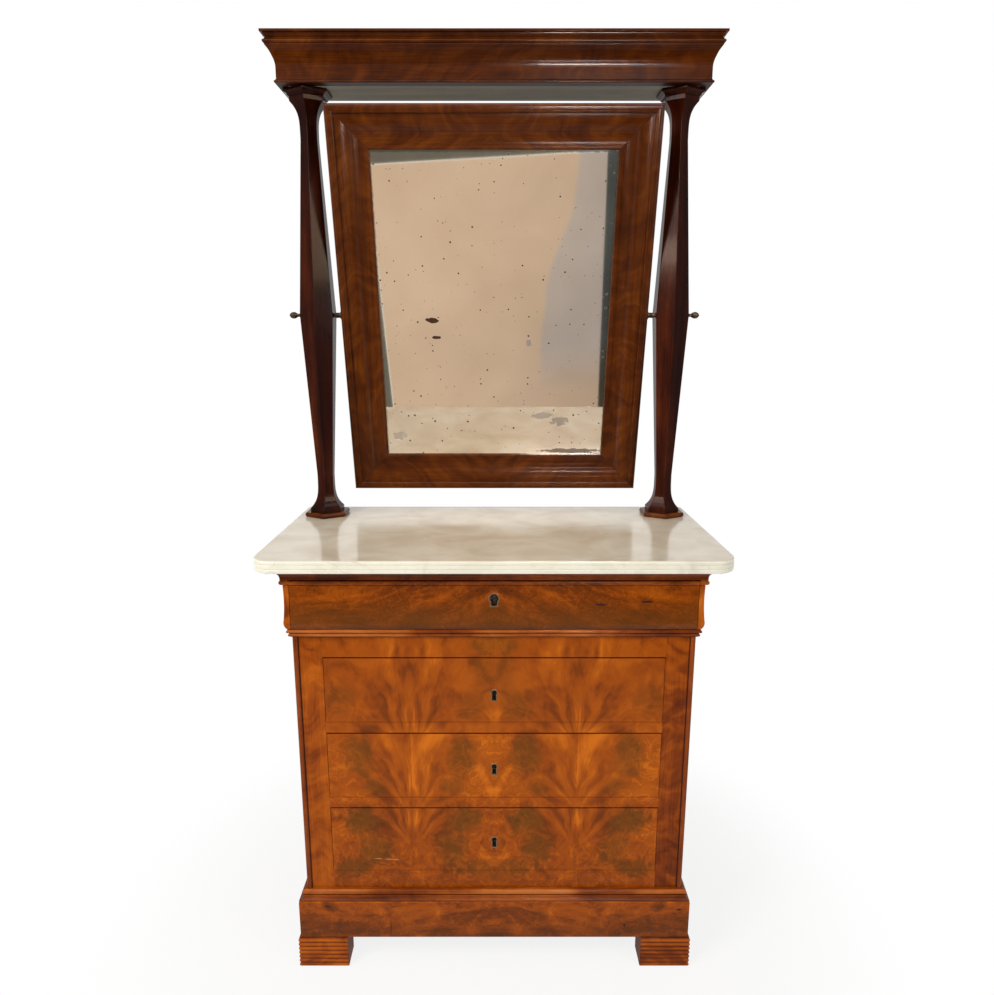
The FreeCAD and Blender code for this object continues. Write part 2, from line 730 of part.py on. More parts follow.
def columns():
    """Two spindles, widest at mid height, each on a rounded hexagonal base and under a capital.
    The pivot's hole runs through each at the middle."""
    high = sized("column_height")
    block_foot = sized("base_height")
    block_top = block_foot + sized("column_block_height")
    low = [(block_foot, sized("column_block_radius")), (block_top, sized("column_block_radius")),
           *flare_levels()]
    cap_shift = sized("capital_height") - sized("base_height")
    high_end = [(high - cap_shift - level, radius) for level, radius in reversed(low[:-1])]
    neck_top = (high - sized("column_neck_height"), sized("column_neck_radius"))
    levels = [*low, (high / 2, sized("column_middle_radius")), neck_top, *high_end]
    hole = cylinder(sized("pivot_radius") + sized("pivot_running_gap"),
                    4 * sized("column_middle_radius"), "x", "pivot_hole")
    place(hole, -2 * sized("column_middle_radius"), 0, high / 2)
    spindle = cut(hexagon_stack("spindle", levels), [hole], "shaft")
    place(spindle, COLUMN_X, COLUMN_Y, MARBLE_TOP)
    node("right_column_shaft", spindle)
    node("left_column_shaft", mirrored(spindle))
    ends = [("column_bases", BASE_SHARES, "base_height", "base_radius", MARBLE_TOP),
            ("column_capitals", CAPITAL_SHARES, "capital_height", "capital_radius",
             CORNICE_FOOT - sized("capital_height"))]
    for name, shares, height_name, radius_name, foot in ends:
        rings = [(share[0] * sized(height_name), share[1] * sized(radius_name))
                 for share in shares]
        end = hexagon_stack("column_end", rings)
        place(end, COLUMN_X, COLUMN_Y, foot)
        node(name, end, mirrored(end))


def cornice():
    """A hollow box of boards: a moulded front and returns, mitred, and plain boards behind,
    below and above."""
    board, reach = sized("cornice_board"), sized("cornice_reach")
    half = sized("cornice_width") / 2 - board
    front = COLUMN_Y - sized("cornice_depth") / 2 + board
    back = COLUMN_Y + sized("cornice_depth") / 2
    corners = moulding_corners(CORNICE_SHARES, reach, sized("cornice_height"), board)
    face, right, left = round_the_case(corners, board + reach, half, front, back, CORNICE_FOOT)
    node("cornice_front", face)
    node("cornice_returns", right, left)
    inner_back = back - sized("cornice_back_thickness")
    dust_top = CORNICE_FOOT + sized("cornice_height") - sized("dust_board_drop")
    dust_foot = dust_top - sized("dust_board_thickness")
    back_board = box((-half, inner_back, CORNICE_FOOT), (half, back, dust_foot))
    soffit = box((-half, front, CORNICE_FOOT),
                 (half, inner_back, CORNICE_FOOT + sized("soffit_thickness")))
    dust_board = box((-half, front, dust_foot), (half, back, dust_top))
    node("cornice_boards", back_board, soffit, dust_board)


def mirror_member(name, length, outer_edge):
    """One mitred side of the mirror frame, drawn from its sight edge outwards, rebated behind
    for the glass."""
    wide, deep = sized("mirror_member"), sized("mirror_depth")
    rebate, behind = sized("mirror_rebate_width"), sized("mirror_rebate_depth")
    face = [(share[0] * wide, share[1] * deep, *share[2:]) for share in MIRROR_SHARES]
    corners = [(wide, 0), *reversed_face(face), (0, behind), (rebate, behind), (rebate, 0)]
    member = length_of_moulding(name, corners, length, (True, True), wide)
    return member, outer_edge - wide


def reversed_face(face):
    """The same face drawn from its outer end inwards; each swell moves to the edge's new end."""
    backwards = []
    swell = ()
    for across, up, *rest in reversed(face):
        backwards.append((across, up, *swell))
        swell = tuple(rest)
    return backwards


def mirror():
    """The tilting mirror, built upright about its pivot and then leant forward."""
    half_wide = sized("mirror_width") / 2
    pivot_drop = sized("pivot_below_middle")
    top_edge = MIRROR_HEIGHT / 2 + pivot_drop
    foot_edge = MIRROR_HEIGHT / 2 - pivot_drop
    back = sized("mirror_depth") / 2
    top_rail, sight_top = mirror_member("top_member", 2 * half_wide, top_edge)
    turn(top_rail, (0, 0, 1), (-1, 0, 0), (0, -1, 0))
    place(top_rail, -half_wide, back, sight_top)
    foot_rail, sight_foot = mirror_member("foot_member", 2 * half_wide, foot_edge)
    turn(foot_rail, (0, 0, -1), (1, 0, 0), (0, -1, 0))
    place(foot_rail, half_wide, back, -sight_foot)
    stile, sight_side = mirror_member("side_member", MIRROR_HEIGHT, half_wide)
    turn(stile, (1, 0, 0), (0, 0, 1), (0, -1, 0))
    place(stile, sight_side, back, top_edge)
    seat = cylinder(sized("bush_radius") + sized("bush_seat_ease"),
                    sized("bush_length") + sized("overrun"), "x", "bush_seat")
    place(seat, half_wide - sized("bush_length") - sized("bush_seat_ease"), 0, 0)
    bored = cut(stile, [seat], "bored_stile")
    lean(node("mirror_rails", top_rail, foot_rail))
    lean(node("mirror_stiles", bored, mirrored(bored)))
    ease = sized("mirror_rebate_width") - sized("glass_ease")
    glass_front = back - sized("mirror_rebate_depth")
    glass_back = glass_front + sized("glass_thickness")
    side, high, foot = sight_side + ease, sight_top + ease, sight_foot + ease
    glass = box((-side, glass_front, -foot), (side, glass_back, high), "plate")
    lean(node("mirror_glass", glass))
    board = box((-side, glass_back, -foot),
                (side, glass_back + sized("backboard_thickness"), high), "backboard")
    lean(node("mirror_backboard", board))


def lean(piece):
    """Leans an upright mirror piece forward about the pivot's axis. The first, small turn only
    gives the rotation its axis; the sheet's angle replaces it."""
    piece.Placement = FreeCAD.Placement(FreeCAD.Vector(0, 0, 0),
                                        FreeCAD.Rotation(FreeCAD.Vector(1, 0, 0), 1))
    bind(piece, "Placement.Rotation.Angle", sized("mirror_tilt"))
    return place(piece, 0, COLUMN_Y, MARBLE_TOP + sized("column_height") / 2)


def pivots():
    """At each side a bush in the mirror frame, and a bolt with an olive knob that passes
    through the column into it."""
    bore = sized("pivot_radius") + sized("pivot_running_gap")
    frame_side = sized("mirror_width") / 2
    flange = frame_side + sized("bush_flange_thickness")
    foot, nose = frame_side - sized("bush_length"), flange + sized("bush_nose") - sized("collar_gap")
    barrel, rim = sized("bush_radius"), sized("bush_flange_radius")
    bush = body("bush")
    half_section = sketch_on(bush, "XY_Plane")
    draw(half_section, [(foot, bore), (nose, bore), (nose, barrel), (flange, barrel), (flange, rim),
                        (frame_side, rim), (frame_side, barrel), (foot, barrel)])
    revolve(bush, half_section)
    lean(node("pivot_bushes", bush, mirrored(bush)))
    column_face = COLUMN_X + sized("column_middle_radius") * Size("cos(30)")
    collar_foot = column_face + sized("collar_gap")
    collar_top = collar_foot + sized("collar_thickness")
    knob_foot = collar_top + sized("knob_neck_length")
    knob_end = knob_foot + sized("knob_length")
    olive = [(knob_foot + share[0] * sized("knob_length"), share[1] * sized("knob_radius"))
             for share in OLIVE_SHARES]
    inner_end = frame_side - sized("pivot_reach_in_bush")
    radius, collar = sized("pivot_radius"), sized("collar_radius")
    bolt = body("bolt")
    half_section = sketch_on(bolt, "XY_Plane")
    draw(half_section, [(inner_end, 0), (knob_end, 0), (knob_end, sized("knob_tip_radius")),
                        *olive, (knob_foot, radius), (collar_top, radius), (collar_top, collar),
                        (collar_foot, collar), (collar_foot, radius), (inner_end, radius)])
    revolve(bolt, half_section)
    pivot_height = MARBLE_TOP + sized("column_height") / 2
    place(bolt, 0, COLUMN_Y, pivot_height)
    node("right_pivot_bolt", bolt)
    node("left_pivot_bolt", mirrored(bolt))


def keyhole_rod(kind, thickness, wall=0):
    """A solid of one kind of keyhole's outline, less a wall all round, that runs along its own
    -Y: a round hole over a foot that widens downwards."""
    radius = sized(f"{kind}_keyhole_radius") - wall
    chord, rise = KEYHOLE_CHORD_SHARES
    foot_half = sized(f"{kind}_keyhole_foot") - wall
    foot = -(sized(f"{kind}_keyhole_drop") - wall)
    solid = body("keyhole")
    sketch = sketch_on(solid, "XZ_Plane")
    draw(sketch, [(foot_half, foot), (chord * radius, rise * radius),
                  (-chord * radius, rise * radius, KEYHOLE_ARC_SHARE), (-foot_half, foot)])
    pad(solid, sketch, thickness)
    return solid


def side_board(foot, height, front_back):
    """The right side of a drawer box, grooved for the floor; its front end is let into the
    drawer front."""
    thick, groove = sized("drawer_side_thickness"), sized("drawer_groove_depth")
    floor, floor_top = sized("drawer_floor_height"), sized("drawer_floor_thickness")
    ease = sized("groove_ease")
    corners = [(0, 0), (thick, 0), (thick, height), (0, height), (0, floor + floor_top + ease),
               (groove, floor + floor_top + ease), (groove, floor - ease), (0, floor - ease)]
    board = length_of_moulding("drawer_side", corners, sized("drawer_length"))
    outer = HALF_OPENING - sized("drawer_side_gap")
    front_end = front_back - sized("drawer_lap")
    place(board, outer - thick, front_end + sized("drawer_length"), foot)
    return board


def drawer(name, foot, opening_height, front_blank, front_back, face, keyhole, key_drop):
    """One drawer: front, three-sided box, floor, and its lock, bolt and escutcheon."""
    front_foot = foot + sized("drawer_foot_gap")
    front_top = foot + opening_height - sized("drawer_top_gap")
    box_foot = foot + sized("running_gap")
    box_height = opening_height - sized("drawer_side_drop") - sized("drawer_top_gap")
    outer = HALF_OPENING - sized("drawer_side_gap")
    inner = outer - sized("drawer_side_thickness")
    lap_front = front_back - sized("drawer_lap")
    past = sized("overrun")
    side = side_board(box_foot, box_height, front_back)
    back_face = lap_front + sized("drawer_length")
    floor_foot = box_foot + sized("drawer_floor_height")
    floor_top = floor_foot + sized("drawer_floor_thickness")
    back_inner = back_face - sized("drawer_back_thickness")
    back = box((-inner, back_inner, floor_top), (inner, back_face, box_foot + box_height), "drawer_back")
    node(f"{name}_box", side, mirrored(side), back)
    lip = sized("drawer_groove_depth") - sized("groove_ease")
    node(f"{name}_floor", box((-(inner + lip), front_back, floor_foot),
                              (inner + lip, back_face, floor_top), "floor"))
    housing = box((inner, lap_front, front_foot - past),
                  (outer + sized("drawer_side_gap"), front_back + past, box_foot + box_height),
                  "housing")
    half_lock = sized("lock_width") / 2
    lock_front = front_back - sized("lock_thickness")
    ease = sized("lock_ease")
    key_height = front_top - key_drop
    key_foot = key_height - sized(f"{keyhole}_keyhole_drop")
    lock_foot = key_foot - sized("lock_below_keyhole")
    recess = box((-(half_lock + ease), lock_front - ease, lock_foot - ease),
                 (half_lock + ease, front_back + past, front_top + past), "lock_recess")
    key_waste = keyhole_rod(keyhole, 2 * sized("marble_overhang"))
    place(key_waste, 0, front_back + past, key_height)
    front = cut(front_blank(front_foot, front_top), [housing, mirrored(housing), recess, key_waste])
    node(f"{name}_front", front)
    wall = sized("escutcheon_wall")
    liner = cut(keyhole_rod(keyhole, sized("escutcheon_depth")),
                [place(keyhole_rod(keyhole, 4 * past, wall), 0, past, 0)])
    place(liner, 0, face - sized("escutcheon_stand") + sized("escutcheon_depth"), key_height)
    node(f"{name}_escutcheon", liner)
    bolt_middle = bolt_line(front_back)
    half_bolt, thin_bolt = sized("bolt_width") / 2, sized("bolt_thickness") / 2
    play = sized("bolt_ease")
    bolt_foot = front_top - play - sized("bolt_height")
    channel = box((-(half_bolt + play), bolt_middle - thin_bolt - play, bolt_foot - play),
                  (half_bolt + play, bolt_middle + thin_bolt + play, front_top + past), "channel")
    key_half = sized(f"{keyhole}_keyhole_foot") - wall
    key_way = box((-key_half, lock_front - past, key_foot + wall),
                  (key_half, bolt_middle, key_height + key_half), "key_way")
    case = box((-half_lock, lock_front, lock_foot), (half_lock, front_back, front_top), "lock_case")
    node(f"{name}_lock", cut(case, [channel, key_way]))
    node(f"{name}_lock_bolt", box((-half_bolt, bolt_middle - thin_bolt, bolt_foot),
                                  (half_bolt, bolt_middle + thin_bolt, front_top - play)))


def flush_front(front_foot, front_top):
    """A flat drawer front that lies flush in the frame of stiles and rails."""
    half = HALF_OPENING - sized("drawer_side_gap")
    return box((-half, CASE_FRONT, front_foot),
               (half, CASE_FRONT + sized("drawer_front_thickness"), front_top), "flat_front")


def ogee_front(front_foot, front_top):
    """The frieze drawer's front: the ogee of the frieze ends, run between them."""
    behind = sized("stile_rebate") - sized("running_gap")
    gap = sized("drawer_foot_gap")
    half = HALF_CASE - sized("drawer_side_gap")
    high = sized("frieze_drawer_height")
    corners = moulding_corners(FRIEZE_SHARES, sized("frieze_reach"), high, behind)
    run = length_of_moulding("ogee_run", corners, 2 * half)
    turn(run, (0, -1, 0), (1, 0, 0), (0, 0, 1))
    place(run, half, CASE_FRONT + behind, front_foot - gap)
    reach = sized("frieze_reach")
    keep = box((-half, CASE_FRONT - 2 * reach, front_foot), (half, CASE_FRONT + behind, front_top))
    return common(run, keep, "ogee_front")


def drawers():
    """Four drawers, from the frieze down."""
    flat_back = CASE_FRONT + sized("drawer_front_thickness")
    ogee_back = CASE_FRONT + sized("stile_rebate") - sized("running_gap")
    ogee_face = CASE_FRONT - FRIEZE_FACE_SHARE * sized("frieze_reach")
    drawer("frieze_drawer", FRIEZE_FOOT, sized("frieze_drawer_height"), ogee_front, ogee_back,
           ogee_face, "wide", sized("frieze_keyhole_below_top"))
    flat = [("upper_drawer", UPPER_FOOT, "small"), ("middle_drawer", MIDDLE_FOOT, "small"),
            ("lower_drawer", LOWER_FOOT, "small")]
    for name, foot, keyhole in flat:
        drawer(name, foot, sized(f"{name}_height"), flush_front, flat_back, CASE_FRONT, keyhole,
               sized("keyhole_below_top"))


def check_and_write():
    """Recomputes the document, stops at any failed object, and writes each sub-part."""
    DOC.recompute()
    failed = [item.Name for item in DOC.Objects if "Invalid" in item.State or "Error" in item.State]
    if failed:
        raise RuntimeError(f"failed objects: {failed}")
    facets = 0
    for piece in NODES:
        shape = piece.Shape
        if shape.isNull() or not shape.isValid():
            raise RuntimeError(f"bad shape: {piece.Label}")
        facets += len(shape.tessellate(0.2)[1])
        shape.exportStep(os.path.join("parts", f"{piece.Label}.step"))
    print(len(NODES), "sub-parts,", facets, "facets")


marble_top()
side_panels()
front_stiles()
rails()
back_frame()
case_bottom()
top_frame()
case_mouldings()
frieze_ends()
feet()
drawer_runners()
columns()
cornice()
mirror()
pivots()
drawers()
check_and_write()
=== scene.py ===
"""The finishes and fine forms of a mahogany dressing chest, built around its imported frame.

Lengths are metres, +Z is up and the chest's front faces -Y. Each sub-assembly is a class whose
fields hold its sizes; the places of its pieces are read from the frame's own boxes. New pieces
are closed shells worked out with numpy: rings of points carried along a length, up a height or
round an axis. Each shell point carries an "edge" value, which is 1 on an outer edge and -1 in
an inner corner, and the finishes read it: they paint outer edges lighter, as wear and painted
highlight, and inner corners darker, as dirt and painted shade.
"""
from __future__ import annotations

import json
import logging
import math
from dataclasses import dataclass, replace
from enum import Enum
from functools import cache, reduce
from typing import Any, Callable, Iterable, Mapping, Optional, Sequence, Union

import bmesh
import bpy
import numpy as np
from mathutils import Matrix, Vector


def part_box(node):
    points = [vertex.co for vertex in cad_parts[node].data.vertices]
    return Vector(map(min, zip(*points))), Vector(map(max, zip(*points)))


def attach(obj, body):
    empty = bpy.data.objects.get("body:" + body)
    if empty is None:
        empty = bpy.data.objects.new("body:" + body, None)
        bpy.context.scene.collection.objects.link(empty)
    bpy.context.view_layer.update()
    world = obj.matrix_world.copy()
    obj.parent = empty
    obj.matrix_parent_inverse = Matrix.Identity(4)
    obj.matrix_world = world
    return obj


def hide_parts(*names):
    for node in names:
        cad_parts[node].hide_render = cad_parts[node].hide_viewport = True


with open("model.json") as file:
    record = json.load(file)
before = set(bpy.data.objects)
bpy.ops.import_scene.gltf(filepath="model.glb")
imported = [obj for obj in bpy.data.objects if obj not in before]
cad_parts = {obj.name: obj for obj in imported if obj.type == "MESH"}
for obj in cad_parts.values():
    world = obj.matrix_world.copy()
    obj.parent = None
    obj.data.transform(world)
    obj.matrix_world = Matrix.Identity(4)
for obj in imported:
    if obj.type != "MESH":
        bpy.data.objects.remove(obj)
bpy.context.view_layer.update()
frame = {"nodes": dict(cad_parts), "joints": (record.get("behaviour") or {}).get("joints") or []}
LOG = logging.getLogger("dressing_chest")

MM = 0.001
TILT = math.radians(12.5)
MITRE_SEAM = 1.0 * MM
SMOOTH_UNDER = math.radians(32)
SHARP_OVER = math.radians(20)
EDGE_ATTRIBUTE = "edge"
TONE_PLACES = (0.14, 0.34, 0.5, 0.66, 0.88)

Colour = tuple[float, float, float]
Stops = tuple[tuple[float, Colour], ...]
Corners = Sequence[Sequence[float]]


def srgb(red: int, green: int, blue: int) -> Colour:
    """The linear colour of three screen levels from 0 to 255."""
    return tuple(((level / 255 + 0.055) / 1.055) ** 2.4 for level in (red, green, blue))


def corners_of(node: str) -> tuple[np.ndarray, np.ndarray]:
    """The lowest and highest corners of a frame node, as arrays."""
    low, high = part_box(node)
    return np.array(low), np.array(high)


# Shapes: outlines, shells and the ways that one becomes the other


@dataclass(frozen=True)
class Section:
    """A sampled closed outline.

    Attributes:
        points: one (across, up) pair for each sample.
        edge: 1 where a sample is painted lighter, as wear and painted highlight, -1 where darker,
            as dirt and painted shade.
    """

    points: np.ndarray
    edge: np.ndarray


def spokes(angles: np.ndarray) -> np.ndarray:
    """Unit (x, y) vectors at some angles."""
    return np.stack([np.cos(angles), np.sin(angles)], axis=-1)


def arc_to(start: np.ndarray, end: np.ndarray, swell: float, count: int) -> np.ndarray:
    """Points on the arc after its start, up to its end.

    The arc rises by a share of its chord to the right of the way it is drawn: with that share s
    and chord c its radius is c * (1 / (8 s) + s / 2), and it turns by 4 * atan(2 s).

    Args:
        start, end: the first and last points.
        swell: the rise as a share of the chord, less than zero for a hollow.
        count: how many points are wanted.

    Returns:
        An array of count points.
    """
    chord = end - start
    length = math.hypot(chord[0], chord[1])
    rise = abs(swell)
    radius = length * (1 / (8 * rise) + rise / 2)
    to_left = np.array([-chord[1], chord[0]]) / length
    centre = (start + end) / 2 + to_left * (radius - rise * length) * math.copysign(1.0, swell)
    first = math.atan2(start[1] - centre[1], start[0] - centre[0])
    turn = math.copysign(4 * math.atan(2 * rise), swell)
    angles = first + turn * np.linspace(0, 1, count + 1)[1:]
    return centre + radius * spokes(angles)


def drawn(corners: Corners, arc_steps: int = 12) -> np.ndarray:
    """The points of a closed outline whose corners may carry a swell for the edge before them.

    Args:
        corners: each one's across, up and, if its edge is an arc, swell.
        arc_steps: how many lines make an arc.

    Returns:
        An array of points.
    """
    parts = []
    for index, corner in enumerate(corners):
        start, end = np.array(corners[index - 1][:2]), np.array(corner[:2])
        bent = len(corner) > 2 and corner[2] != 0
        parts.append(arc_to(start, end, corner[2], arc_steps) if bent else end[None, :])
    return np.concatenate(parts)


def eased(points: np.ndarray, ease: float, steps: int = 4) -> Section:
    """Rounds every corner of a closed outline that turns by more than SHARP_OVER.

    A corner V is cut back by the ease along both its edges to A and B, and becomes the curve
    (1-t)^2 A + 2t(1-t) V + t^2 B.

    Args:
        points: the outline, drawn anticlockwise.
        ease: how far each corner is cut back.
        steps: how many lines replace a corner.

    Returns:
        The outline with its edge values: outer corners and bends above nought, painted lighter as
        wear and painted highlight, inner ones below nought, painted darker as dirt and painted
        shade;
        corners fully, round parts by how sharply they turn.
    """
    into = points - np.roll(points, 1, axis=0)
    out = np.roll(points, -1, axis=0) - points
    length_in = np.linalg.norm(into, axis=1)
    length_out = np.linalg.norm(out, axis=1)
    cross = into[:, 0] * out[:, 1] - into[:, 1] * out[:, 0]
    turn = np.arctan2(cross, (into * out).sum(axis=1))
    sharp = np.abs(turn) > SHARP_OVER
    cut = np.minimum(ease, 0.45 * np.minimum(length_in, length_out))[:, None]
    before = points - into / length_in[:, None] * cut
    after = points + out / length_out[:, None] * cut
    counts = np.where(sharp, steps + 1, 1)
    owner = np.repeat(np.arange(len(points)), counts)
    inside = np.arange(len(owner)) - np.repeat(np.cumsum(counts) - counts, counts)
    share = np.where(sharp[owner], inside / steps, 0.5)[:, None]
    curve = (1 - share) ** 2 * before[owner] + 2 * share * (1 - share) * points[owner] \
        + share ** 2 * after[owner]
    kept = np.where(sharp[owner][:, None], curve, points[owner])
    # Outer corners and bends are painted lighter, as wear and painted highlight; inner ones darker,
    # as dirt and painted shade.
    mark = np.where(sharp[owner], np.sign(turn[owner]) * (1 - np.abs(2 * share[:, 0] - 1)),
                    np.clip(2.4 * turn[owner], -0.5, 0.7))
    return Section(kept, mark)


def moulding(shares: Corners, reach: float, height: float, root: float = 0.0,
             ease: float = 0.5 * MM) -> Section:
    """A moulding's section: flat back and bottom, and a face drawn in shares.

    Args:
        shares: each corner as a share of the reach, a share of the height and a swell.
        reach: how far the face stands beyond the root.
        height: how high the moulding is.
        root: how thick the board behind the face is.
        ease: how far sharp corners are rounded.

    Returns:
        The sampled section, its underside painted darker as shade.
    """
    face = [(root + share[0] * reach, share[1] * height, *share[2:]) for share in shares]
    section = eased(drawn([(0.0, 0.0), *face, (0.0, height)]), ease)
    # The underside is marked -1, which paints it darker as shade.
    return replace(section, edge=np.where(section.points[:, 1] < 1e-6, -1.0, section.edge))


@dataclass(frozen=True)
class Shell:
    """A closed surface of flat polygons.

    Attributes:
        points: an array of (x, y, z) rows.
        faces: blocks of polygons, each an array with one row of point numbers for a polygon.
        edge: each point's edge value: above nought painted lighter, as wear and painted highlight;
            below nought darker, as dirt and painted shade.
    """

    points: np.ndarray
    faces: tuple[np.ndarray, ...]
    edge: np.ndarray

    def flipped(self) -> Shell:
        """The same shell with every polygon turned over."""
        return replace(self, faces=tuple(block[:, ::-1] for block in self.faces))

    def outward(self) -> Shell:
        """The same shell with its polygons facing out, by the sign of its volume.

        The volume is a sixth of the sum of a . (b x c) over the triangles of each polygon.

        Returns:
            The shell, turned over if that sum is less than zero.
        """
        volume = 0.0
        for block in self.faces:
            first = self.points[block[:, :1]]
            second = self.points[block[:, 1:-1]]
            third = self.points[block[:, 2:]]
            volume += float((first * np.cross(second, third)).sum())
        return self.flipped() if volume < 0 else self

    def mirrored(self) -> Shell:
        """The same shell on the other side of the middle of the chest."""
        return replace(self, points=self.points * np.array([-1.0, 1.0, 1.0])).flipped()

    def leant(self, angle: float, pivot: np.ndarray) -> Shell:
        """The shell turned about the X axis, then moved so that its origin is at the pivot.

        Args:
            angle: the turn, from +Y towards +Z.
            pivot: where its origin goes.

        Returns:
            The shell in its new place.
        """
        cosine, sine = math.cos(angle), math.sin(angle)
        turn = np.array([[1.0, 0.0, 0.0], [0.0, cosine, -sine], [0.0, sine, cosine]])
        return replace(self, points=self.points @ turn.T + pivot)


def joined(*shells: Shell) -> Shell:
    """Several shells as one.

    Args:
        shells: shells, in any number.

    Returns:
        Their points and polygons together.
    """
    faces, start = [], 0
    for shell in shells:
        faces += [block + start for block in shell.faces]
        start += len(shell.points)
    return Shell(np.concatenate([shell.points for shell in shells]), tuple(faces),
                 np.concatenate([shell.edge for shell in shells]))


def loft(rings: np.ndarray, edge: Union[np.ndarray, float] = 0.0,
         closed: bool = False) -> Shell:
    """A closed skin over a stack of rings.

    Args:
        rings: an array (levels, points in a ring, 3); point j of each ring joins point j of the
            next by a straight line.
        edge: the edge values (wear and painted highlight above nought, dirt and painted shade
            below), for one ring or for all of them.
        closed: whether the last ring joins the first, as in a hoop; else both ends are capped.

    Returns:
        The shell, facing out.
    """
    levels, count = rings.shape[:2]
    marks = np.broadcast_to(edge, (levels, count))
    last = levels if closed else levels - 1
    level, spot = np.meshgrid(np.arange(last), np.arange(count), indexing="ij")
    above, beside = (level + 1) % levels, (spot + 1) % count
    sides = np.stack([level * count + spot, level * count + beside, above * count + beside,
                      above * count + spot], axis=-1).reshape(-1, 4)
    faces = [sides]
    if not closed:
        faces += [np.arange(count)[None, ::-1], (levels - 1) * count + np.arange(count)[None, :]]
    return Shell(rings.reshape(-1, 3), tuple(faces), marks.reshape(-1)).outward()


def carried(section: Section, start: Sequence[float], along: Sequence[float],
            outward: Sequence[float], upward: Sequence[float], length: float,
            mitres: tuple[float, float] = (0.0, 0.0), stations: int = 2) -> Shell:
    """A section carried in a straight line.

    The point (a, b) of the section lies at start + a * outward + b * upward, and its line runs
    from -mitre_0 * a to length + mitre_1 * a along the way.

    Args:
        section: the section, in its own across and up.
        start: where the section's origin starts.
        along: the way it runs.
        outward, upward: the ways that the section's across and up point.
        length: how far the section's origin runs.
        mitres: how much longer each end is for each unit across.
        stations: how many rings are evenly spaced; one more lies near each end.

    Returns:
        The shell, with a dark line at each mitred end.
    """
    across, up = section.points[:, :1], section.points[:, 1:]
    base = np.array(start) + across * np.array(outward) + up * np.array(upward)
    seam = MITRE_SEAM / length
    share = np.unique(np.concatenate([np.linspace(0, 1, stations), [seam, 1 - seam]]))
    dark = np.zeros((len(share), 1))
    dark[0], dark[-1] = mitres[0] > 0, mitres[1] > 0
    share = share[:, None, None]
    run = -mitres[0] * across * (1 - share) + (length + mitres[1] * across) * share
    return loft(base + run * np.array(along), np.maximum(section.edge - 2 * dark, -1.0))


def round_the_case(section: Section, half: float, front: float, back: float, foot: float,
                   stations: tuple[int, int] = (24, 12)) -> tuple[Shell, Shell, Shell]:
    """A moulding round the front and both sides of a case, mitred at the front corners.

    Args:
        section: the moulding's section.
        half: the case's half width.
        front, back: the places of its front and back along Y.
        foot: the height of the moulding's underside.
        stations: how many evenly spaced rings the front and each side have.

    Returns:
        The front, right and left lengths.
    """
    ahead = carried(section, (-half, front, foot), (1, 0, 0), (0, -1, 0), (0, 0, 1), 2 * half,
                    (1.0, 1.0), stations[0])
    right = carried(section, (half, back, foot), (0, -1, 0), (1, 0, 0), (0, 0, 1), back - front,
                    (0.0, 1.0), stations[1])
    return ahead, right, right.mirrored()


def rounded_plan(low: np.ndarray, high: np.ndarray, radii: Sequence[float],
                 insets: np.ndarray, steps: int = 14) -> np.ndarray:
    """Plans of a rectangle with round corners, one for each inset.

    Each corner keeps its centre, and its radius is less by the inset, which may not pass it.

    Args:
        low, high: the rectangle's lowest and highest X and Y.
        radii: the corner radii, from the front left anticlockwise.
        insets: how far each plan lies inside the rectangle.
        steps: how many lines make a quarter turn.

    Returns:
        An array (plans, points, 2).
    """
    quarter = np.linspace(0, math.pi / 2, steps + 1)
    parts = []
    for index, (radius, side_x, side_y) in enumerate(zip(radii, (0, 1, 1, 0), (0, 0, 1, 1))):
        centre = np.array([high[0] - radius if side_x else low[0] + radius,
                           high[1] - radius if side_y else low[1] + radius])
        angles = quarter + math.pi + index * math.pi / 2
        parts.append(centre + (radius - insets)[:, None, None] * spokes(angles))
    return np.concatenate(parts, axis=1)


def cornered_plans(*corners: tuple[np.ndarray, np.ndarray]) -> np.ndarray:
    """Plans whose corners are each given by their x and their y, level by level."""
    return np.array(corners).transpose(2, 0, 1)


def at_heights(plans: np.ndarray, heights: np.ndarray) -> np.ndarray:
    """Rings made of plans at heights."""
    levels = np.broadcast_to(heights[:, None, None], (*plans.shape[:2], 1))
    return np.concatenate([plans, levels], axis=2)


def open_grid(grid: np.ndarray) -> Shell:
    """A patch of four-sided polygons over a grid of points.

    Args:
        grid: an array (rows, columns, 3).

    Returns:
        The patch, with every edge value at nought.
    """
    rows, columns = grid.shape[:2]
    number = np.arange(rows * columns).reshape(rows, columns)
    quads = np.stack([number[:-1, :-1], number[:-1, 1:], number[1:, 1:], number[1:, :-1]],
                     axis=-1).reshape(-1, 4)
    return Shell(grid.reshape(-1, 3), (quads,), np.zeros(rows * columns))


# Finishes: shader sums written as Python, and the materials made of them

Input = Union["Value", float, int, Sequence[float]]


def math_node(operation: str, swapped: bool = False) -> Callable[..., Value]:
    """Makes a method of Value that adds one Math node.

    Args:
        operation: what the node works out.
        swapped: whether the other input comes first.

    Returns:
        The method.
    """
    def method(self: Value, other: Input = 0.0) -> Value:
        """The node's output for this value and another input."""
        first, second = (other, self) if swapped else (self, other)
        return self.recipe.node("Math", {"operation": operation}, {0: first, 1: second})

    return method


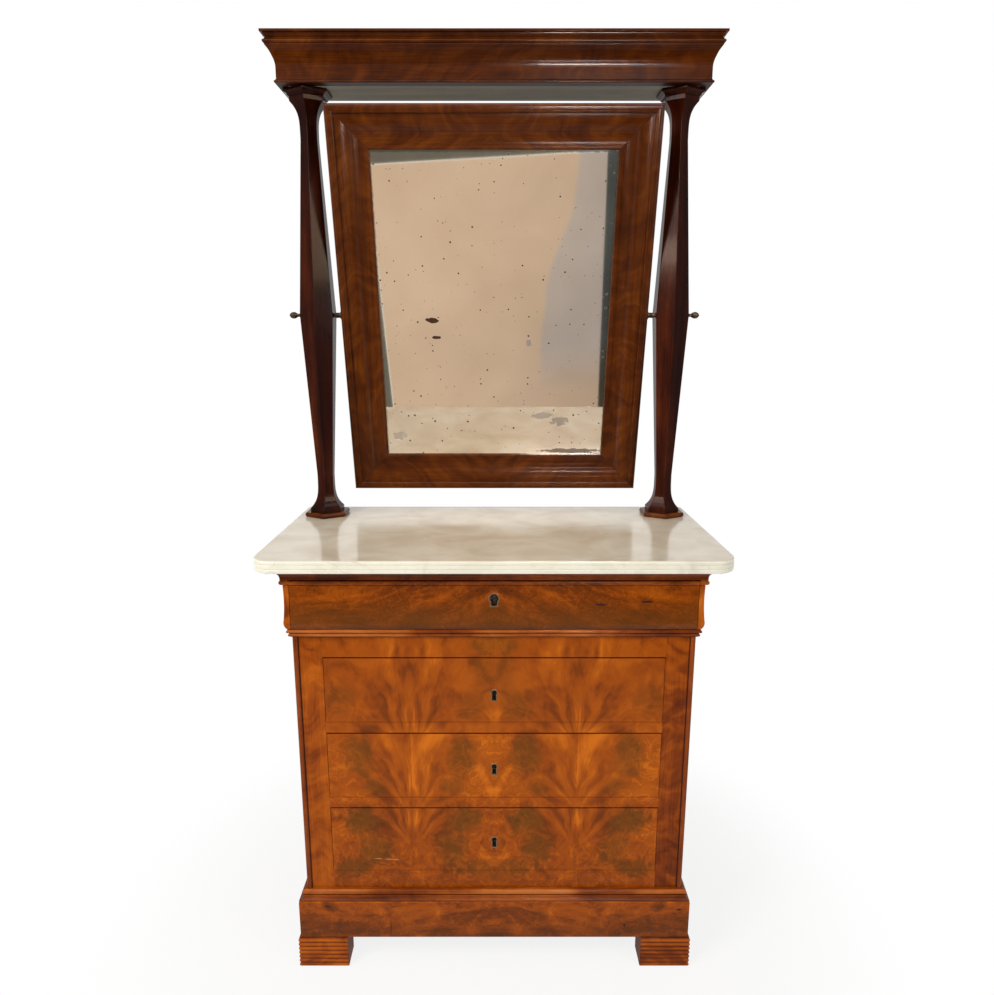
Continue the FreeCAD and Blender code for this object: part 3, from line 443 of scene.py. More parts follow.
class Value:
    """One shader socket that Python's arithmetic turns into Math nodes."""

    __add__ = math_node("ADD")
    __radd__ = math_node("ADD", swapped=True)
    __sub__ = math_node("SUBTRACT")
    __rsub__ = math_node("SUBTRACT", swapped=True)
    __mul__ = math_node("MULTIPLY")
    __rmul__ = math_node("MULTIPLY", swapped=True)
    __truediv__ = math_node("DIVIDE")
    __neg__ = math_node("SUBTRACT", swapped=True)
    __abs__ = math_node("ABSOLUTE")
    __gt__ = math_node("GREATER_THAN")
    __lt__ = math_node("LESS_THAN")
    larger = math_node("MAXIMUM")
    smaller = math_node("MINIMUM")

    def __init__(self, recipe: Recipe, socket: Any) -> None:
        """Wraps a socket of a recipe's node tree."""
        self.recipe, self.socket = recipe, socket

    def twin(self, output: Union[int, str]) -> Value:
        """Another output of the same node."""
        return Value(self.recipe, self.socket.node.outputs[output])

    def rise(self, low: float, high: float) -> Value:
        """0 below low and 1 above high, with an S curve between."""
        return self.recipe.node("MapRange", {"interpolation_type": "SMOOTHSTEP"},
                                {"Value": self, "From Min": low, "From Max": high})

    def fall(self, low: float, high: float) -> Value:
        """1 below low and 0 above high, with an S curve between."""
        return 1 - self.rise(low, high)


def largest(values: Iterable[Value]) -> Value:
    """The largest of several values."""
    return reduce(Value.larger, values)


class Recipe:
    """The node tree of a material or a world while it is being put together."""

    def __init__(self, owner: bpy.types.ID) -> None:
        """Empties the owner's node tree.

        Args:
            owner: the material or world that the nodes are for.
        """
        owner.use_nodes = True
        self.owner, self.tree = owner, owner.node_tree
        self.tree.nodes.clear()

    @classmethod
    def named(cls, name: str) -> Recipe:
        """A recipe for a new material."""
        return cls(bpy.data.materials.new(name))

    def node(self, kind: str, settings: Mapping[str, Any], inputs: Mapping[Any, Input],
             output: int = 0) -> Value:
        """Adds any node.

        Args:
            kind: the node's type, less its first word, ShaderNode.
            settings: its own properties, set first; "stops" holds a ramp's (place, colour) pairs.
            inputs: values or links, by socket name or number.
            output: which of its outputs is wanted.

        Returns:
            That output, or an empty value for a node without any.
        """
        made = self.tree.nodes.new(f"ShaderNode{kind}")
        for name, setting in settings.items():
            if name == "stops":
                elements = made.color_ramp.elements
                while len(elements) < len(setting):
                    elements.new(1.0)
                for element, (place, colour) in zip(elements, setting):
                    element.position, element.color = place, (*colour, 1.0)
            else:
                setattr(made, name, setting)
        for name, given in inputs.items():
            socket = made.inputs[name]
            if isinstance(given, Value):
                self.tree.links.new(given.socket, socket)
            elif isinstance(given, (int, float)):
                socket.default_value = float(given)
            else:
                wanted = len(socket.default_value)
                socket.default_value = (*given, 1.0)[:wanted]
        return Value(self, made.outputs[output] if made.outputs else None)

    def place(self) -> Value:
        """The point on the piece, in metres."""
        return self.node("TexCoord", {}, {}, 3)

    def split(self, vector: Value) -> tuple[Value, Value, Value]:
        """The three parts of a vector."""
        first = self.node("SeparateXYZ", {}, {0: vector})
        return first, first.twin(1), first.twin(2)

    def join(self, x: Input, y: Input, z: Input) -> Value:
        """A vector of three parts."""
        return self.node("CombineXYZ", {}, {0: x, 1: y, 2: z})

    def noise(self, at: Union[Value, Sequence[Input]], detail: float = 2.0,
              distortion: float = 0.0, scale: float = 1.0) -> Value:
        """Soft noise from about 0.2 to 0.8 at a place, or at three parts of one."""
        vector = at if isinstance(at, Value) else self.join(*at)
        return self.node("TexNoise", {}, {"Vector": vector, "Scale": scale, "Detail": detail,
                                          "Distortion": distortion})

    def ramp(self, value: Value, stops: Stops) -> Value:
        """A colour that follows a value through stops."""
        return self.node("ValToRGB", {"stops": stops}, {0: value})

    def blend(self, share: Input, first: Input, second: Input, kind: str = "MIX") -> Value:
        """Two colours mixed by a share."""
        return self.node("Mix", {"data_type": "RGBA", "blend_type": kind},
                         {0: share, 6: first, 7: second}, 2)

    def edge(self) -> Value:
        """The piece's edge value: wear and painted highlight above nought, dirt and painted shade
        below.
        """
        return self.node("Attribute", {"attribute_name": EDGE_ATTRIBUTE}, {}, 2)

    def bump(self, height: Value, strength: float, distance: float) -> Value:
        """A normal that follows a height."""
        return self.node("Bump", {}, {"Strength": strength, "Distance": distance, "Height": height})

    def surface(self, **inputs: Input) -> bpy.types.Material:
        """Ends the recipe with a principled surface; its sockets have underscores for spaces."""
        named = {name.replace("_", " "): given for name, given in inputs.items()}
        return self.close(self.node("BsdfPrincipled", {}, named))

    def close(self, shader: Value, kind: str = "OutputMaterial") -> bpy.types.ID:
        """Ends the recipe with a shader and an output node of some kind, and returns its owner."""
        self.node(kind, {}, {"Surface": shader})
        return self.owner


class Grain(Enum):
    """The way that a piece's wood runs."""

    X = "x"
    Y = "y"
    Z = "z"
    MIRROR_X = "mirror_x"
    MIRROR_Z = "mirror_z"


class Finish:
    """A finish, which gives its material its own name."""

    name: str

    @cache
    def material(self) -> bpy.types.Material:
        """The material, made at the first call for equal finishes."""
        return self.build()

    def build(self) -> bpy.types.Material:
        """Makes the material."""
        raise NotImplementedError


def wood_tones(*levels: tuple[int, int, int]) -> Stops:
    """Ramp stops for five screen colours of a wood, from its darkest streak to its brightest."""
    return tuple((place, srgb(*level)) for place, level in zip(TONE_PLACES, levels))


FLAME_TONES = wood_tones((80, 36, 1), (116, 52, 2), (146, 67, 3), (164, 80, 6), (198, 104, 16))
STILE_TONES = wood_tones((84, 32, 2), (118, 50, 4), (148, 69, 7), (168, 83, 12), (192, 104, 26))
MOULDING_TONES = wood_tones((56, 18, 2), (90, 36, 4), (122, 54, 10), (144, 70, 18), (176, 98, 40))
DARK_TONES = wood_tones((34, 9, 0), (52, 19, 0), (68, 28, 0), (86, 39, 2), (118, 62, 16))
FRAME_TONES = wood_tones((40, 13, 0), (58, 23, 0), (75, 32, 1), (94, 45, 5), (126, 68, 20))
COLUMN_TONES = wood_tones((14, 1, 0), (26, 5, 0), (42, 11, 0), (60, 20, 2), (92, 42, 14))
SIDE_TONES = wood_tones((64, 26, 4), (94, 42, 8), (120, 56, 12), (138, 68, 18), (160, 86, 30))
DUSTY_TONES = wood_tones((116, 111, 98), (130, 125, 111), (141, 136, 121), (151, 145, 129),
                         (164, 157, 140))
PINE_TONES = wood_tones((110, 70, 34), (140, 94, 50), (160, 112, 64), (174, 127, 76),
                        (192, 148, 96))
OAK_TONES = wood_tones((104, 76, 46), (138, 104, 66), (160, 124, 82), (178, 142, 98),
                       (196, 162, 116))


@dataclass(frozen=True)
class PlainWood(Finish):
    """Straight-grained wood, polished or bare.

    Attributes:
        tones, grain: its colours, and the way its fibres run.
        polish: how rough its surface is.
        coat: how much clear polish lies on it.
        figure: how strongly its broad ribbons show.
        right_side_shade: painted shade, how much darker it is on the chest's right, where less
            light falls.
        mottle: how strongly short bars cross the grain.
        sheen: how strongly the wood under the polish mirrors what stands round it.
    """

    name: str
    tones: Stops
    grain: Grain
    polish: float = 0.24
    coat: float = 0.5
    figure: float = 1.0
    right_side_shade: float = 0.0
    mottle: float = 0.0
    sheen: float = 0.08

    def build(self) -> bpy.types.Material:
        """Fibres, ribbons, clouds and pores along the grain, with mottle across it.

        The mirror's rails are laid in two matched leaves, left and right of their middle.

        Returns:
            The finished material.
        """
        recipe = Recipe.named(self.name)
        x, y, z = recipe.split(recipe.place())
        if self.grain in (Grain.MIRROR_X, Grain.MIRROR_Z):
            cosine, sine = math.cos(TILT), math.sin(TILT)
            y, z = y * cosine + z * sine, z * cosine - y * sine
        if self.grain is Grain.MIRROR_X:
            x = abs(x + 0.008)
        along, side, deep = {"x": (x, y, z), "y": (y, x, z), "z": (z, x, y)}[self.grain.value[-1]]
        warp = recipe.noise((along * 2.2, side * 9, deep * 9), 2) - 0.5
        side, deep = side + warp * 0.022, deep + warp * 0.016
        ribbon = recipe.noise((along * 1.5, side * 34, deep * 34), 3, 0.3)
        cloud = recipe.noise((along * 4, side * 9, deep * 9), 3, 0.6)
        fibre = recipe.noise((along * 14, side * 430, deep * 430), 3)
        pore = recipe.noise((along * 85, side * 1500, deep * 1500), 1).rise(0.62, 0.74)
        bars = recipe.noise((along * 27 + warp * 6, side * 15, deep * 15), 2, 1.1)
        tone = (0.5 + (ribbon - 0.5) * (1.1 * self.figure) + (cloud - 0.5) * (0.8 * self.figure)
                + (fibre - 0.5) * 0.34 + (bars - 0.5) * self.mottle)
        edge = recipe.edge()
        # Edges marked above nought are painted lighter, as wear and painted highlight; those below
        # nought darker, as dirt and painted shade.
        wear_and_highlight = edge.rise(0.2, 1.0) * cloud.rise(0.42, 0.6)
        grime_and_shade = (-edge).rise(0.1, 0.8)
        # The chest's right side is painted darker, as shade where less light falls.
        tone = tone + wear_and_highlight * 0.34 - grime_and_shade * 0.3 - pore * 0.12 - (x > 0) * self.right_side_shade
        colour = recipe.ramp(tone, self.tones)
        rough = self.polish + (cloud - 0.5) * 0.16 + pore * 0.16 + grime_and_shade * 0.3 + wear_and_highlight * 0.1
        height = fibre * 0.35 - pore + cloud * 0.8
        return recipe.surface(Base_Color=colour, Roughness=rough, Coat_Weight=self.coat,
                              Coat_Roughness=0.09, Specular_IOR_Level=self.sheen,
                              Normal=recipe.bump(height, 0.22, 0.12 * MM))


@dataclass(frozen=True)
class Patch:
    """An oval patch on a surface: its middle, its half sizes and how strongly it shows."""

    across: float
    up: float
    half_width: float
    half_height: float
    strength: float = 1.0

    def share(self, across: Value, up: Value, fray: Value) -> Value:
        """How much of the patch covers a point, with a border that the fray pushes about."""
        off_x, off_z = (across - self.across) / self.half_width, (up - self.up) / self.half_height
        return (off_x * off_x + off_z * off_z + fray).fall(0.0, 1.6) * self.strength


@dataclass(frozen=True)
class FlameVeneer(Finish):
    """Crotch mahogany laid in four book-matched leaves over the drawers and rails.

    Attributes:
        leaf: the width of one leaf.
        roots: the heights that the plumes fan out from, upwards.
        seams: the heights where one plume ends and the next starts.
        hollows, middle_hollows: dark olive patches, placed by their distance from a plume's axis
            and from the middle joint.
        forks: foot and top heights, and spread, of the ribbons that fork from the middle joint.
        wedges: foot and top heights, and slope, of the bright wedges over the plumes' axes.
    """

    name: str = "flame_mahogany_leaves"
    leaf: float = 177 * MM
    roots: tuple[float, float, float] = (0.306, 0.388, 0.540)
    seams: tuple[float, float] = (0.3862, 0.5632)
    hollows: tuple[Patch, ...] = (
        Patch(0.112, 0.508, 0.034, 0.050, 0.85), Patch(0.088, 0.436, 0.026, 0.021, 0.7),
        Patch(0.114, 0.350, 0.042, 0.034, 1.0), Patch(0.086, 0.285, 0.036, 0.046, 0.85),
        Patch(0.134, 0.238, 0.046, 0.024, 0.75), Patch(0.142, 0.640, 0.034, 0.040, 0.4))
    middle_hollows: tuple[Patch, ...] = (
        Patch(0.020, 0.762, 0.032, 0.022, 0.8), Patch(0.024, 0.700, 0.030, 0.044, 0.5),
        Patch(0.046, 0.618, 0.034, 0.034, 0.5), Patch(0.0, 0.214, 0.018, 0.014, 0.6))
    forks: tuple[tuple[float, float, float], ...] = (
        (0.232, 0.306, 0.55), (0.412, 0.505, 0.48), (0.576, 0.640, 0.16))
    wedges: tuple[tuple[float, float, float], ...] = ((0.312, 0.405, 1.3), (0.412, 0.590, 2.0))

    def build(self) -> bpy.types.Material:
        """Plumes that fan out from two upright axes, with dark clouds in the hollows between.

        With u the distance from the nearest plume's axis and v the height over the plume's
        root, a ray is a line of one value of u / (u + v); the streaks follow the rays.

        Returns:
            The finished material.
        """
        recipe = Recipe.named(self.name)
        x, _, z = recipe.split(recipe.place())
        out = abs(x)
        sway = recipe.noise((x * 7, 4.2, z * 6), 2) - 0.5
        stray = recipe.noise((x * 25, 1.7, z * 21), 2) - 0.5
        beside = abs(out - self.leaf) + sway * 0.032 + stray * 0.014
        over = z - self._root(z)
        lift = abs(over) + 0.024
        ray = beside / (beside + lift)
        run = beside + lift
        streak = recipe.noise((ray * 8 + sway, run * 11, out * 2), 2, 0.4)
        lick = recipe.noise((ray * 22 + stray, run * 26, 6.1), 2, 0.3)
        fibre = recipe.noise((ray * 120, run * 42, out * 9), 2)
        plume = beside.fall(0.03, 0.13) * over.rise(-0.03, 0.03)
        cloud = recipe.noise((x * 11, 2.9, z * 10), 3, 0.8)
        swirl = recipe.noise((out * 19 + stray * 2, 3.3, z * 17), 3, 1.2)
        curl = recipe.noise((out * 25 + sway, 7.3, z * 22), 2, 1.8)
        fray = (swirl - 0.5) * 1.8 + (cloud - 0.5) * 1.4
        hollow = largest([patch.share(beside, z, fray) for patch in self.hollows]
                         + [patch.share(out, z, fray) for patch in self.middle_hollows])
        right_of = (x > 0) * (out > self.leaf) + (x < 0) * (out < self.leaf)
        glow = self._wedges(beside, z, stray) * (0.06 + right_of * 0.1) \
            + self._forks(out, z, stray) * 0.19 \
            + right_of * z.rise(0.4, 0.43) * z.fall(0.56, 0.6) * 0.045 \
            + (x > 0) * x.fall(0.006, 0.02) * z.rise(0.3, 0.36) * 0.05
        thread = abs(curl - 0.5).fall(0.004, 0.05) * (1 - plume) * z.fall(0.53, 0.6)
        band = z.rise(0.385, 0.42) * z.fall(0.55, 0.6) * 0.05 - z.fall(0.36, 0.41) * 0.045
        joint = (abs(out - self.leaf).smaller(out)).fall(0.0001, 0.0008)
        tone = (0.5 + band + (streak - 0.5) * (0.2 + 0.85 * plume)
                + (lick - 0.5) * (0.12 + 0.18 * plume) + (fibre - 0.5) * 0.1
                + (swirl - 0.5) * (0.64 - 0.4 * plume) - hollow * 0.15 + glow
                + thread * 0.16 + self._arches(beside, z, stray) * 0.07
                + right_of * 0.02 + (x > 0) * 0.012 - joint * 0.07)
        # Edges marked above nought are painted lighter, as wear and painted highlight.
        wear_and_highlight = recipe.edge().rise(0.2, 1.0) * cloud.rise(0.4, 0.6)
        colour = recipe.ramp(tone + wear_and_highlight * 0.16, FLAME_TONES)
        olive = recipe.blend(hollow * 0.44, colour, srgb(108, 70, 10))
        scratch = self._scratch(recipe, x, z)
        dressed = recipe.blend(scratch, olive, srgb(214, 158, 96))
        rough = 0.3 + (cloud - 0.5) * 0.16 + (fibre - 0.5) * 0.1 + scratch * 0.2
        height = fibre * 0.3 + cloud * 1.2 + stray * 0.8 - joint
        return recipe.surface(Base_Color=dressed, Roughness=rough, Coat_Weight=0.04,
                              Coat_Roughness=0.12, Specular_IOR_Level=0.1,
                              Normal=recipe.bump(height, 0.2, 0.15 * MM))

    def _root(self, z: Value) -> Value:
        """The height that the plume at this height fans out from."""
        low, middle, high = self.roots
        return low + (z > self.seams[0]) * (middle - low) + (z > self.seams[1]) * (high - middle)

    def _wedges(self, beside: Value, z: Value, stray: Value) -> Value:
        """Bright wedges that open upwards from a point on a plume's axis."""
        return largest((z - foot - beside * slope + stray * 0.03).rise(0.0, 0.035)
                       * z.fall(top - 0.05, top) for foot, top, slope in self.wedges)

    def _forks(self, out: Value, z: Value, stray: Value) -> Value:
        """Bright ribbons that leave the middle joint and spread as they rise."""
        return largest(abs(out - (z - foot) * spread + stray * 0.014).fall(0.003, 0.014)
                       * z.rise(foot, foot + 0.015) * z.fall(top - 0.04, top)
                       for foot, top, spread in self.forks)

    def _arches(self, beside: Value, z: Value, stray: Value) -> Value:
        """Thin pale arches at the foot of the upper drawer, between the plumes.

        Args:
            beside: the distance from the nearest axis.
            z: the height.
            stray: a small noise about nought.

        Returns:
            1 on an arch and 0 off it.
        """
        off_x, off_z = (beside - 0.123) / 0.05, (z - 0.584 + stray * 0.012) / 0.038
        oval = off_x * off_x + off_z * off_z
        lines = abs(oval - 1.0).fall(0.0, 0.16).larger(abs(oval - 0.52).fall(0.0, 0.1))
        return lines * z.rise(0.588, 0.596) * z.fall(0.62, 0.65)

    @staticmethod
    def _scratch(recipe: Recipe, x: Value, z: Value) -> Value:
        """One pale scratch on the lowest drawer, a little aslant.

        Args:
            recipe: the veneer's recipe.
            x, z: the place across and the height.

        Returns:
            1 on the scratch and 0 off it.
        """
        centre_x, centre_z, half_length = -0.237, 0.2585, 0.034
        off_line = abs(z - centre_z + (x - centre_x) * 0.06)
        broken = recipe.noise((x * 160, 0.0, z * 400), 2).rise(0.36, 0.52)
        ends = abs(x - centre_x).fall(half_length * 0.5, half_length)
        return off_line.fall(0.0002, 0.0011) * ends * broken


@dataclass(frozen=True)
class SweptVeneer(Finish):
    """Crotch mahogany whose flames sweep sideways, matched at the middle of the chest.

    Attributes:
        slope: how steeply the flames rise towards the middle.
        low, high: the heights where the figure is darkest and brightest.
        mottle: how much of the figure is clouds instead of flames.
        marks: small dark bruises and knots.
        darkness: how much darker than usual the whole figure is.
        umber: how brown its lower part is.
    """

    name: str
    slope: float
    low: float
    high: float
    mottle: float
    marks: tuple[Patch, ...]
    darkness: float = 0.0
    umber: float = 0.3

    def build(self) -> bpy.types.Material:
        """Flames along lines of one value of z - slope * |x|, brighter towards the top.

        Returns:
            The finished material.
        """
        recipe = Recipe.named(self.name)
        x, _, z = recipe.split(recipe.place())
        out = abs(x)
        sway = recipe.noise((x * 5.2, 8.4, z * 9), 2) - 0.5
        feather = z + (self.slope * out) + sway * 0.07 - out * out * (self.slope * 0.9)
        flame = recipe.noise((feather * 30, out * 4, 1.9), 3, 0.7)
        lick = recipe.noise((feather * 95, out * 13, 4.4), 2, 0.4)
        fibre = recipe.noise((feather * 430, out * 38, 2.5), 2)
        cloud = recipe.noise((out * 13, 5.9, z * 15), 3, 1.4)
        curl = recipe.noise((out * 22, 9.1, z * 26), 2, 2.6)
        thread = abs(curl - 0.5).fall(0.0, 0.05)
        lift = z.rise(self.low, self.high)
        tone = (0.4 - self.darkness + lift * 0.12 + (flame - 0.5) * (1.15 - 0.7 * self.mottle)
                + (lick - 0.5) * 0.3 + (cloud - 0.5) * (0.35 + 0.75 * self.mottle)
                + (fibre - 0.5) * 0.18 + thread * 0.13)
        joint = out.fall(0.0001, 0.0007)
        edge = recipe.edge()
        # Edges marked above nought are painted lighter, as wear and painted highlight; those below
        # nought darker, as dirt and painted shade.
        wear_and_highlight = edge.rise(0.2, 1.0) * cloud.rise(0.4, 0.6)
        grime_and_shade = (-edge).rise(0.1, 0.8)
        dents = self._dents(recipe, x, z)
        tone = tone - joint * 0.1 + wear_and_highlight * 0.2 - grime_and_shade * 0.3 - dents * 0.4
        colour = recipe.ramp(tone, FLAME_TONES)
        umber = (z + sway * 0.03 + (cloud - 0.5) * 0.05).fall(self.low - 0.01, self.high)
        colour = recipe.blend(umber * self.umber, colour, srgb(98, 54, 16))
        colour = recipe.blend(dents * 0.8, colour, srgb(46, 16, 6))
        rough = 0.25 + (cloud - 0.5) * 0.15 + grime_and_shade * 0.3 + dents * 0.4
        height = fibre * 0.3 + cloud * 1.2 - dents * 6
        return recipe.surface(Base_Color=colour, Roughness=rough, Coat_Weight=0.05,
                              Coat_Roughness=0.1, Specular_IOR_Level=0.1,
                              Normal=recipe.bump(height, 0.2, 0.15 * MM))

    def _dents(self, recipe: Recipe, x: Value, z: Value) -> Value:
        """Where the small dark bruises and knots lie."""
        fray = (recipe.noise((x * 300, 0.0, z * 500), 2) - 0.5) * 0.9
        return largest(mark.share(x, z, fray) for mark in self.marks)


@dataclass(frozen=True)
class GreyVeinedMarble(Finish):
    """Pale marble: ivory at its edge, with a warm worn top and faint grey veins.

    Attributes:
        top: the height of the slab's top.
    """

    name: str
    top: float

    def build(self) -> bpy.types.Material:
        """Clouds and thin veins; a vein is where a warped noise passes through one half.

        Returns:
            The finished material.
        """
        recipe = Recipe.named(self.name)
        point = recipe.place()
        x, y, z = recipe.split(point)
        drift = recipe.noise(point, 3, 0.0, 5.0) - 0.5
        field_a = recipe.noise((x * 3 + drift * 0.8, y * 6, z * 6), 4, 0.9)
        field_b = recipe.noise((x * 8 + 3.1, y * 14, z * 14), 4, 1.2)
        vein = abs(field_a - 0.5).fall(0.0, 0.022) * field_b.rise(0.48, 0.66)
        hair = abs(field_b - 0.52).fall(0.0, 0.01) * field_a.rise(0.5, 0.62)
        cloud = recipe.noise(point, 3, 0.5, 9.0)
        speck = recipe.noise(point, 1, 0.0, 520.0).rise(0.66, 0.74)
        worn_top = z.rise(self.top - 2.2 * MM, self.top - 0.4 * MM)
        ivory = recipe.ramp(cloud, ((0.3, srgb(222, 218, 200)), (0.7, srgb(233, 231, 216))))
        beige = recipe.ramp(cloud, ((0.3, srgb(184, 170, 149)), (0.52, srgb(196, 185, 166)),
                                    (0.7, srgb(203, 196, 181))))
        colour = recipe.blend(worn_top, ivory, beige)
        colour = recipe.blend(vein * 0.22 + hair * 0.16, colour, srgb(158, 144, 128))
        colour = recipe.blend(speck * 0.2, colour, srgb(120, 104, 84))
        # The grooves in the edge are painted darker, as shade and dirt.
        grime_and_shade = (-recipe.edge()).rise(0.1, 0.9) * 0.36
        colour = recipe.blend(grime_and_shade, colour, srgb(168, 158, 132))
        rough = 0.16 + (cloud - 0.5) * 0.16 + speck * 0.1 + (1 - worn_top) * 0.12
        return recipe.surface(Base_Color=colour, Roughness=rough, Specular_IOR_Level=0.5,
                              Coat_Weight=0.1, Coat_Roughness=0.08,
                              Normal=recipe.bump(cloud * 2 - speck, 0.15, 0.1 * MM))


@dataclass(frozen=True)
class AgedSilvering(Finish):
    """An old silvered plate: a warm reflection, pin spots, and a few lost patches.

    Attributes:
        pivot: the mirror's pivot, which its own upright frame is measured from.
        blotches: the patches of lost silvering.
    """

    name: str
    pivot: tuple[float, float, float]
    blotches: tuple[Patch, ...] = (
        Patch(-0.145, -0.012, 0.015, 0.0065, 1.0), Patch(-0.137, -0.052, 0.011, 0.004, 1.0),
        Patch(0.080, -0.066, 0.006, 0.010, 0.6), Patch(-0.235, -0.296, 0.018, 0.010, 0.45),
        Patch(0.118, -0.244, 0.026, 0.008, 0.5), Patch(0.160, -0.258, 0.022, 0.011, 0.6),
        Patch(0.190, -0.336, 0.075, 0.006, 0.8))

    def build(self) -> bpy.types.Material:
        """A metal surface whose spots turn dull and brown; each spot is a cell's own disc.

        Returns:
            The finished material.
        """
        recipe = Recipe.named(self.name)
        x, y, z = recipe.split(recipe.place())
        y, z = y - self.pivot[1], z - self.pivot[2]
        up = z * math.cos(TILT) - y * math.sin(TILT)
        plane = recipe.join(x, up, 0.0)
        fray = recipe.noise(plane, 3, 0.0, 90.0) - 0.5
        spots = self._pin_spots(recipe, plane, 62.0, 0.89, 0.13) + \
            self._pin_spots(recipe, plane, 112.0, 0.955, 0.17) * 0.8
        lost = spots.smaller(1.0)
        for patch in self.blotches:
            blot = (patch.share(x, up, fray * 3.0) / patch.strength).rise(0.2, 0.55)
            lost = lost.larger(blot * patch.strength)
        haze = recipe.noise(plane, 4, 0.6, 5.0)
        rim = (abs(x) + fray * 0.006).rise(0.2615, 0.2655).larger(
            (abs(up + 0.001) + fray * 0.006).rise(0.3415, 0.3455))
        tint = recipe.ramp(haze, ((0.3, srgb(230, 219, 206)), (0.7, srgb(242, 233, 222))))
        colour = recipe.blend(lost, tint, srgb(62, 36, 16))
        colour = recipe.blend(rim * 0.6, colour, srgb(110, 102, 84))
        rough = 0.03 + lost * 0.1 + rim * 0.03 + (haze - 0.5) * 0.03
        wave = recipe.noise(plane, 1, 0.0, 3.0)
        return recipe.surface(Base_Color=colour, Metallic=1 - lost, Roughness=rough,
                              Specular_IOR_Level=0.1, Coat_Weight=0.35, Coat_Roughness=0.02,
                              Normal=recipe.bump(wave, 0.25, 0.4 * MM))

    @staticmethod
    def _pin_spots(recipe: Recipe, plane: Value, scale: float, kept: float, size: float) -> Value:
        """Discs round the cells of one scale, in the share of cells that are kept.

        Args:
            recipe: the plate's recipe.
            plane: the place on the plate.
            scale: how many cells lie along a metre.
            kept: how much of the cells has no disc.
            size: the largest disc, as a share of a cell.

        Returns:
            1 on a disc and 0 off it.
        """
        cell = recipe.node("TexVoronoi", {"voronoi_dimensions": "2D"},
                           {"Vector": plane, "Scale": scale})
        chance, radius, _ = recipe.split(cell.twin("Color"))
        return (cell / (radius * size + 0.035)).fall(0.6, 1.2) * (chance > kept)


@dataclass(frozen=True)
class OldMetal(Finish):
    """Handled metal with tarnish in its low places.

    Attributes:
        bright, dull: its colours where it is rubbed and tarnished.
        rough: how rough it is.
        tarnish: how much of it is tarnished.
    """

    name: str
    bright: Colour
    dull: Colour
    rough: float
    tarnish: float

    def build(self) -> bpy.types.Material:
        """Two noises choose between rubbed and tarnished metal; rubbed edges are bright.

        Returns:
            The finished material.
        """
        recipe = Recipe.named(self.name)
        point = recipe.place()
        cloud = recipe.noise(point, 3, 0.4, 160.0)
        grit = recipe.noise(point, 2, 0.0, 1400.0)
        edge = recipe.edge()
        dull = (cloud + grit * 0.35 - edge * 0.35 - 0.175).rise(0.62 - self.tarnish * 0.4,
                                                                0.82 - self.tarnish * 0.4)
        colour = recipe.blend(dull, self.bright, self.dull)
        rough = self.rough + dull * 0.28 + (grit - 0.5) * 0.12
        return recipe.surface(Base_Color=colour, Metallic=1 - dull * 0.35, Roughness=rough,
                              Normal=recipe.bump(grit + cloud, 0.3, 0.08 * MM))


class Wood(Enum):
    """The chest's woods: tones, polish, coat, figure, right_side_shade (painted shade on the
    chest's right), mottle and sheen, in that order.
    """

    DARK_MAHOGANY = (DARK_TONES, 0.16, 0.05, 0.35, 0.0, 0.6, 0.055)
    COLUMN_MAHOGANY = (COLUMN_TONES, 0.17, 0.03, 0.8, 0.0, 0.1, 0.035)
    FOOT_MAHOGANY = (FRAME_TONES, 0.18, 0.04, 0.6, 0.0, 0.3, 0.05)
    FRAME_MAHOGANY = (FRAME_TONES, 0.18, 0.06, 0.4, 0.0, 0.6, 0.075)
    MOULDING_MAHOGANY = (MOULDING_TONES, 0.2, 0.08, 0.7, 0.0, 0.3)
    STILE_MAHOGANY = (STILE_TONES, 0.3, 0.04, 0.4, 0.1, 0.75)
    SIDE_MAHOGANY = (SIDE_TONES, 0.28, 0.04, 1.1, 0.0, 0.0)
    BARE_PINE = (PINE_TONES, 0.62, 0.0, 0.8)
    BARE_OAK = (OAK_TONES, 0.62, 0.0, 0.8)
    BARE_DUSTY = (DUSTY_TONES, 0.62, 0.0, 0.8)

    def along(self, grain: Grain) -> PlainWood:
        """The wood with its grain running a given way."""
        tones, *measures = self.value
        return PlainWood(f"{self.name.lower()}_{grain.value}", tones, grain, *measures)


BRONZE = OldMetal("patinated_bronze", srgb(96, 74, 46), srgb(36, 26, 16), 0.3, 0.8)
BRASS = OldMetal("tarnished_brass", srgb(128, 100, 72), srgb(60, 44, 28), 0.36, 0.55)
IRON = OldMetal("filed_iron", srgb(120, 116, 110), srgb(70, 60, 52), 0.4, 0.6)


# Pieces: shells that are given a finish and a body


def add_piece(name: str, shell: Shell, finish: Finish, body: str,
              stands_for: Sequence[str] = (), welded: bool = False) -> bpy.types.Object:
    """Makes one piece of the object.

    Args:
        name: the piece's name.
        shell: its surface, in place.
        finish: what it is finished in.
        body: the body that it moves with.
        stands_for: the frame nodes that it is shown instead of.
        welded: whether its patches still have to be joined and turned outward.

    Returns:
        The new object.
    """
    mesh = bpy.data.meshes.new(name)
    polygons = [row for block in shell.faces for row in block.tolist()]
    mesh.from_pydata(shell.points.tolist(), [], polygons)
    marks = mesh.attributes.new(EDGE_ATTRIBUTE, "FLOAT", "POINT")
    marks.data.foreach_set("value", shell.edge.astype(np.float32))
    if welded:
        weld(mesh)
    mesh.polygons.foreach_set("use_smooth", np.ones(len(mesh.polygons), dtype=bool))
    mesh.set_sharp_from_angle(angle=SMOOTH_UNDER)
    mesh.materials.append(finish.material())
    mesh.update()
    piece = bpy.data.objects.new(name, mesh)
    bpy.context.scene.collection.objects.link(piece)
    even = piece.modifiers.new("even_normals", "WEIGHTED_NORMAL")
    even.keep_sharp = True
    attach(piece, body)
    if stands_for:
        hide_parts(*stands_for)
    LOG.info("piece %s: %d points, rides %s", name, len(mesh.vertices), body)
    return piece


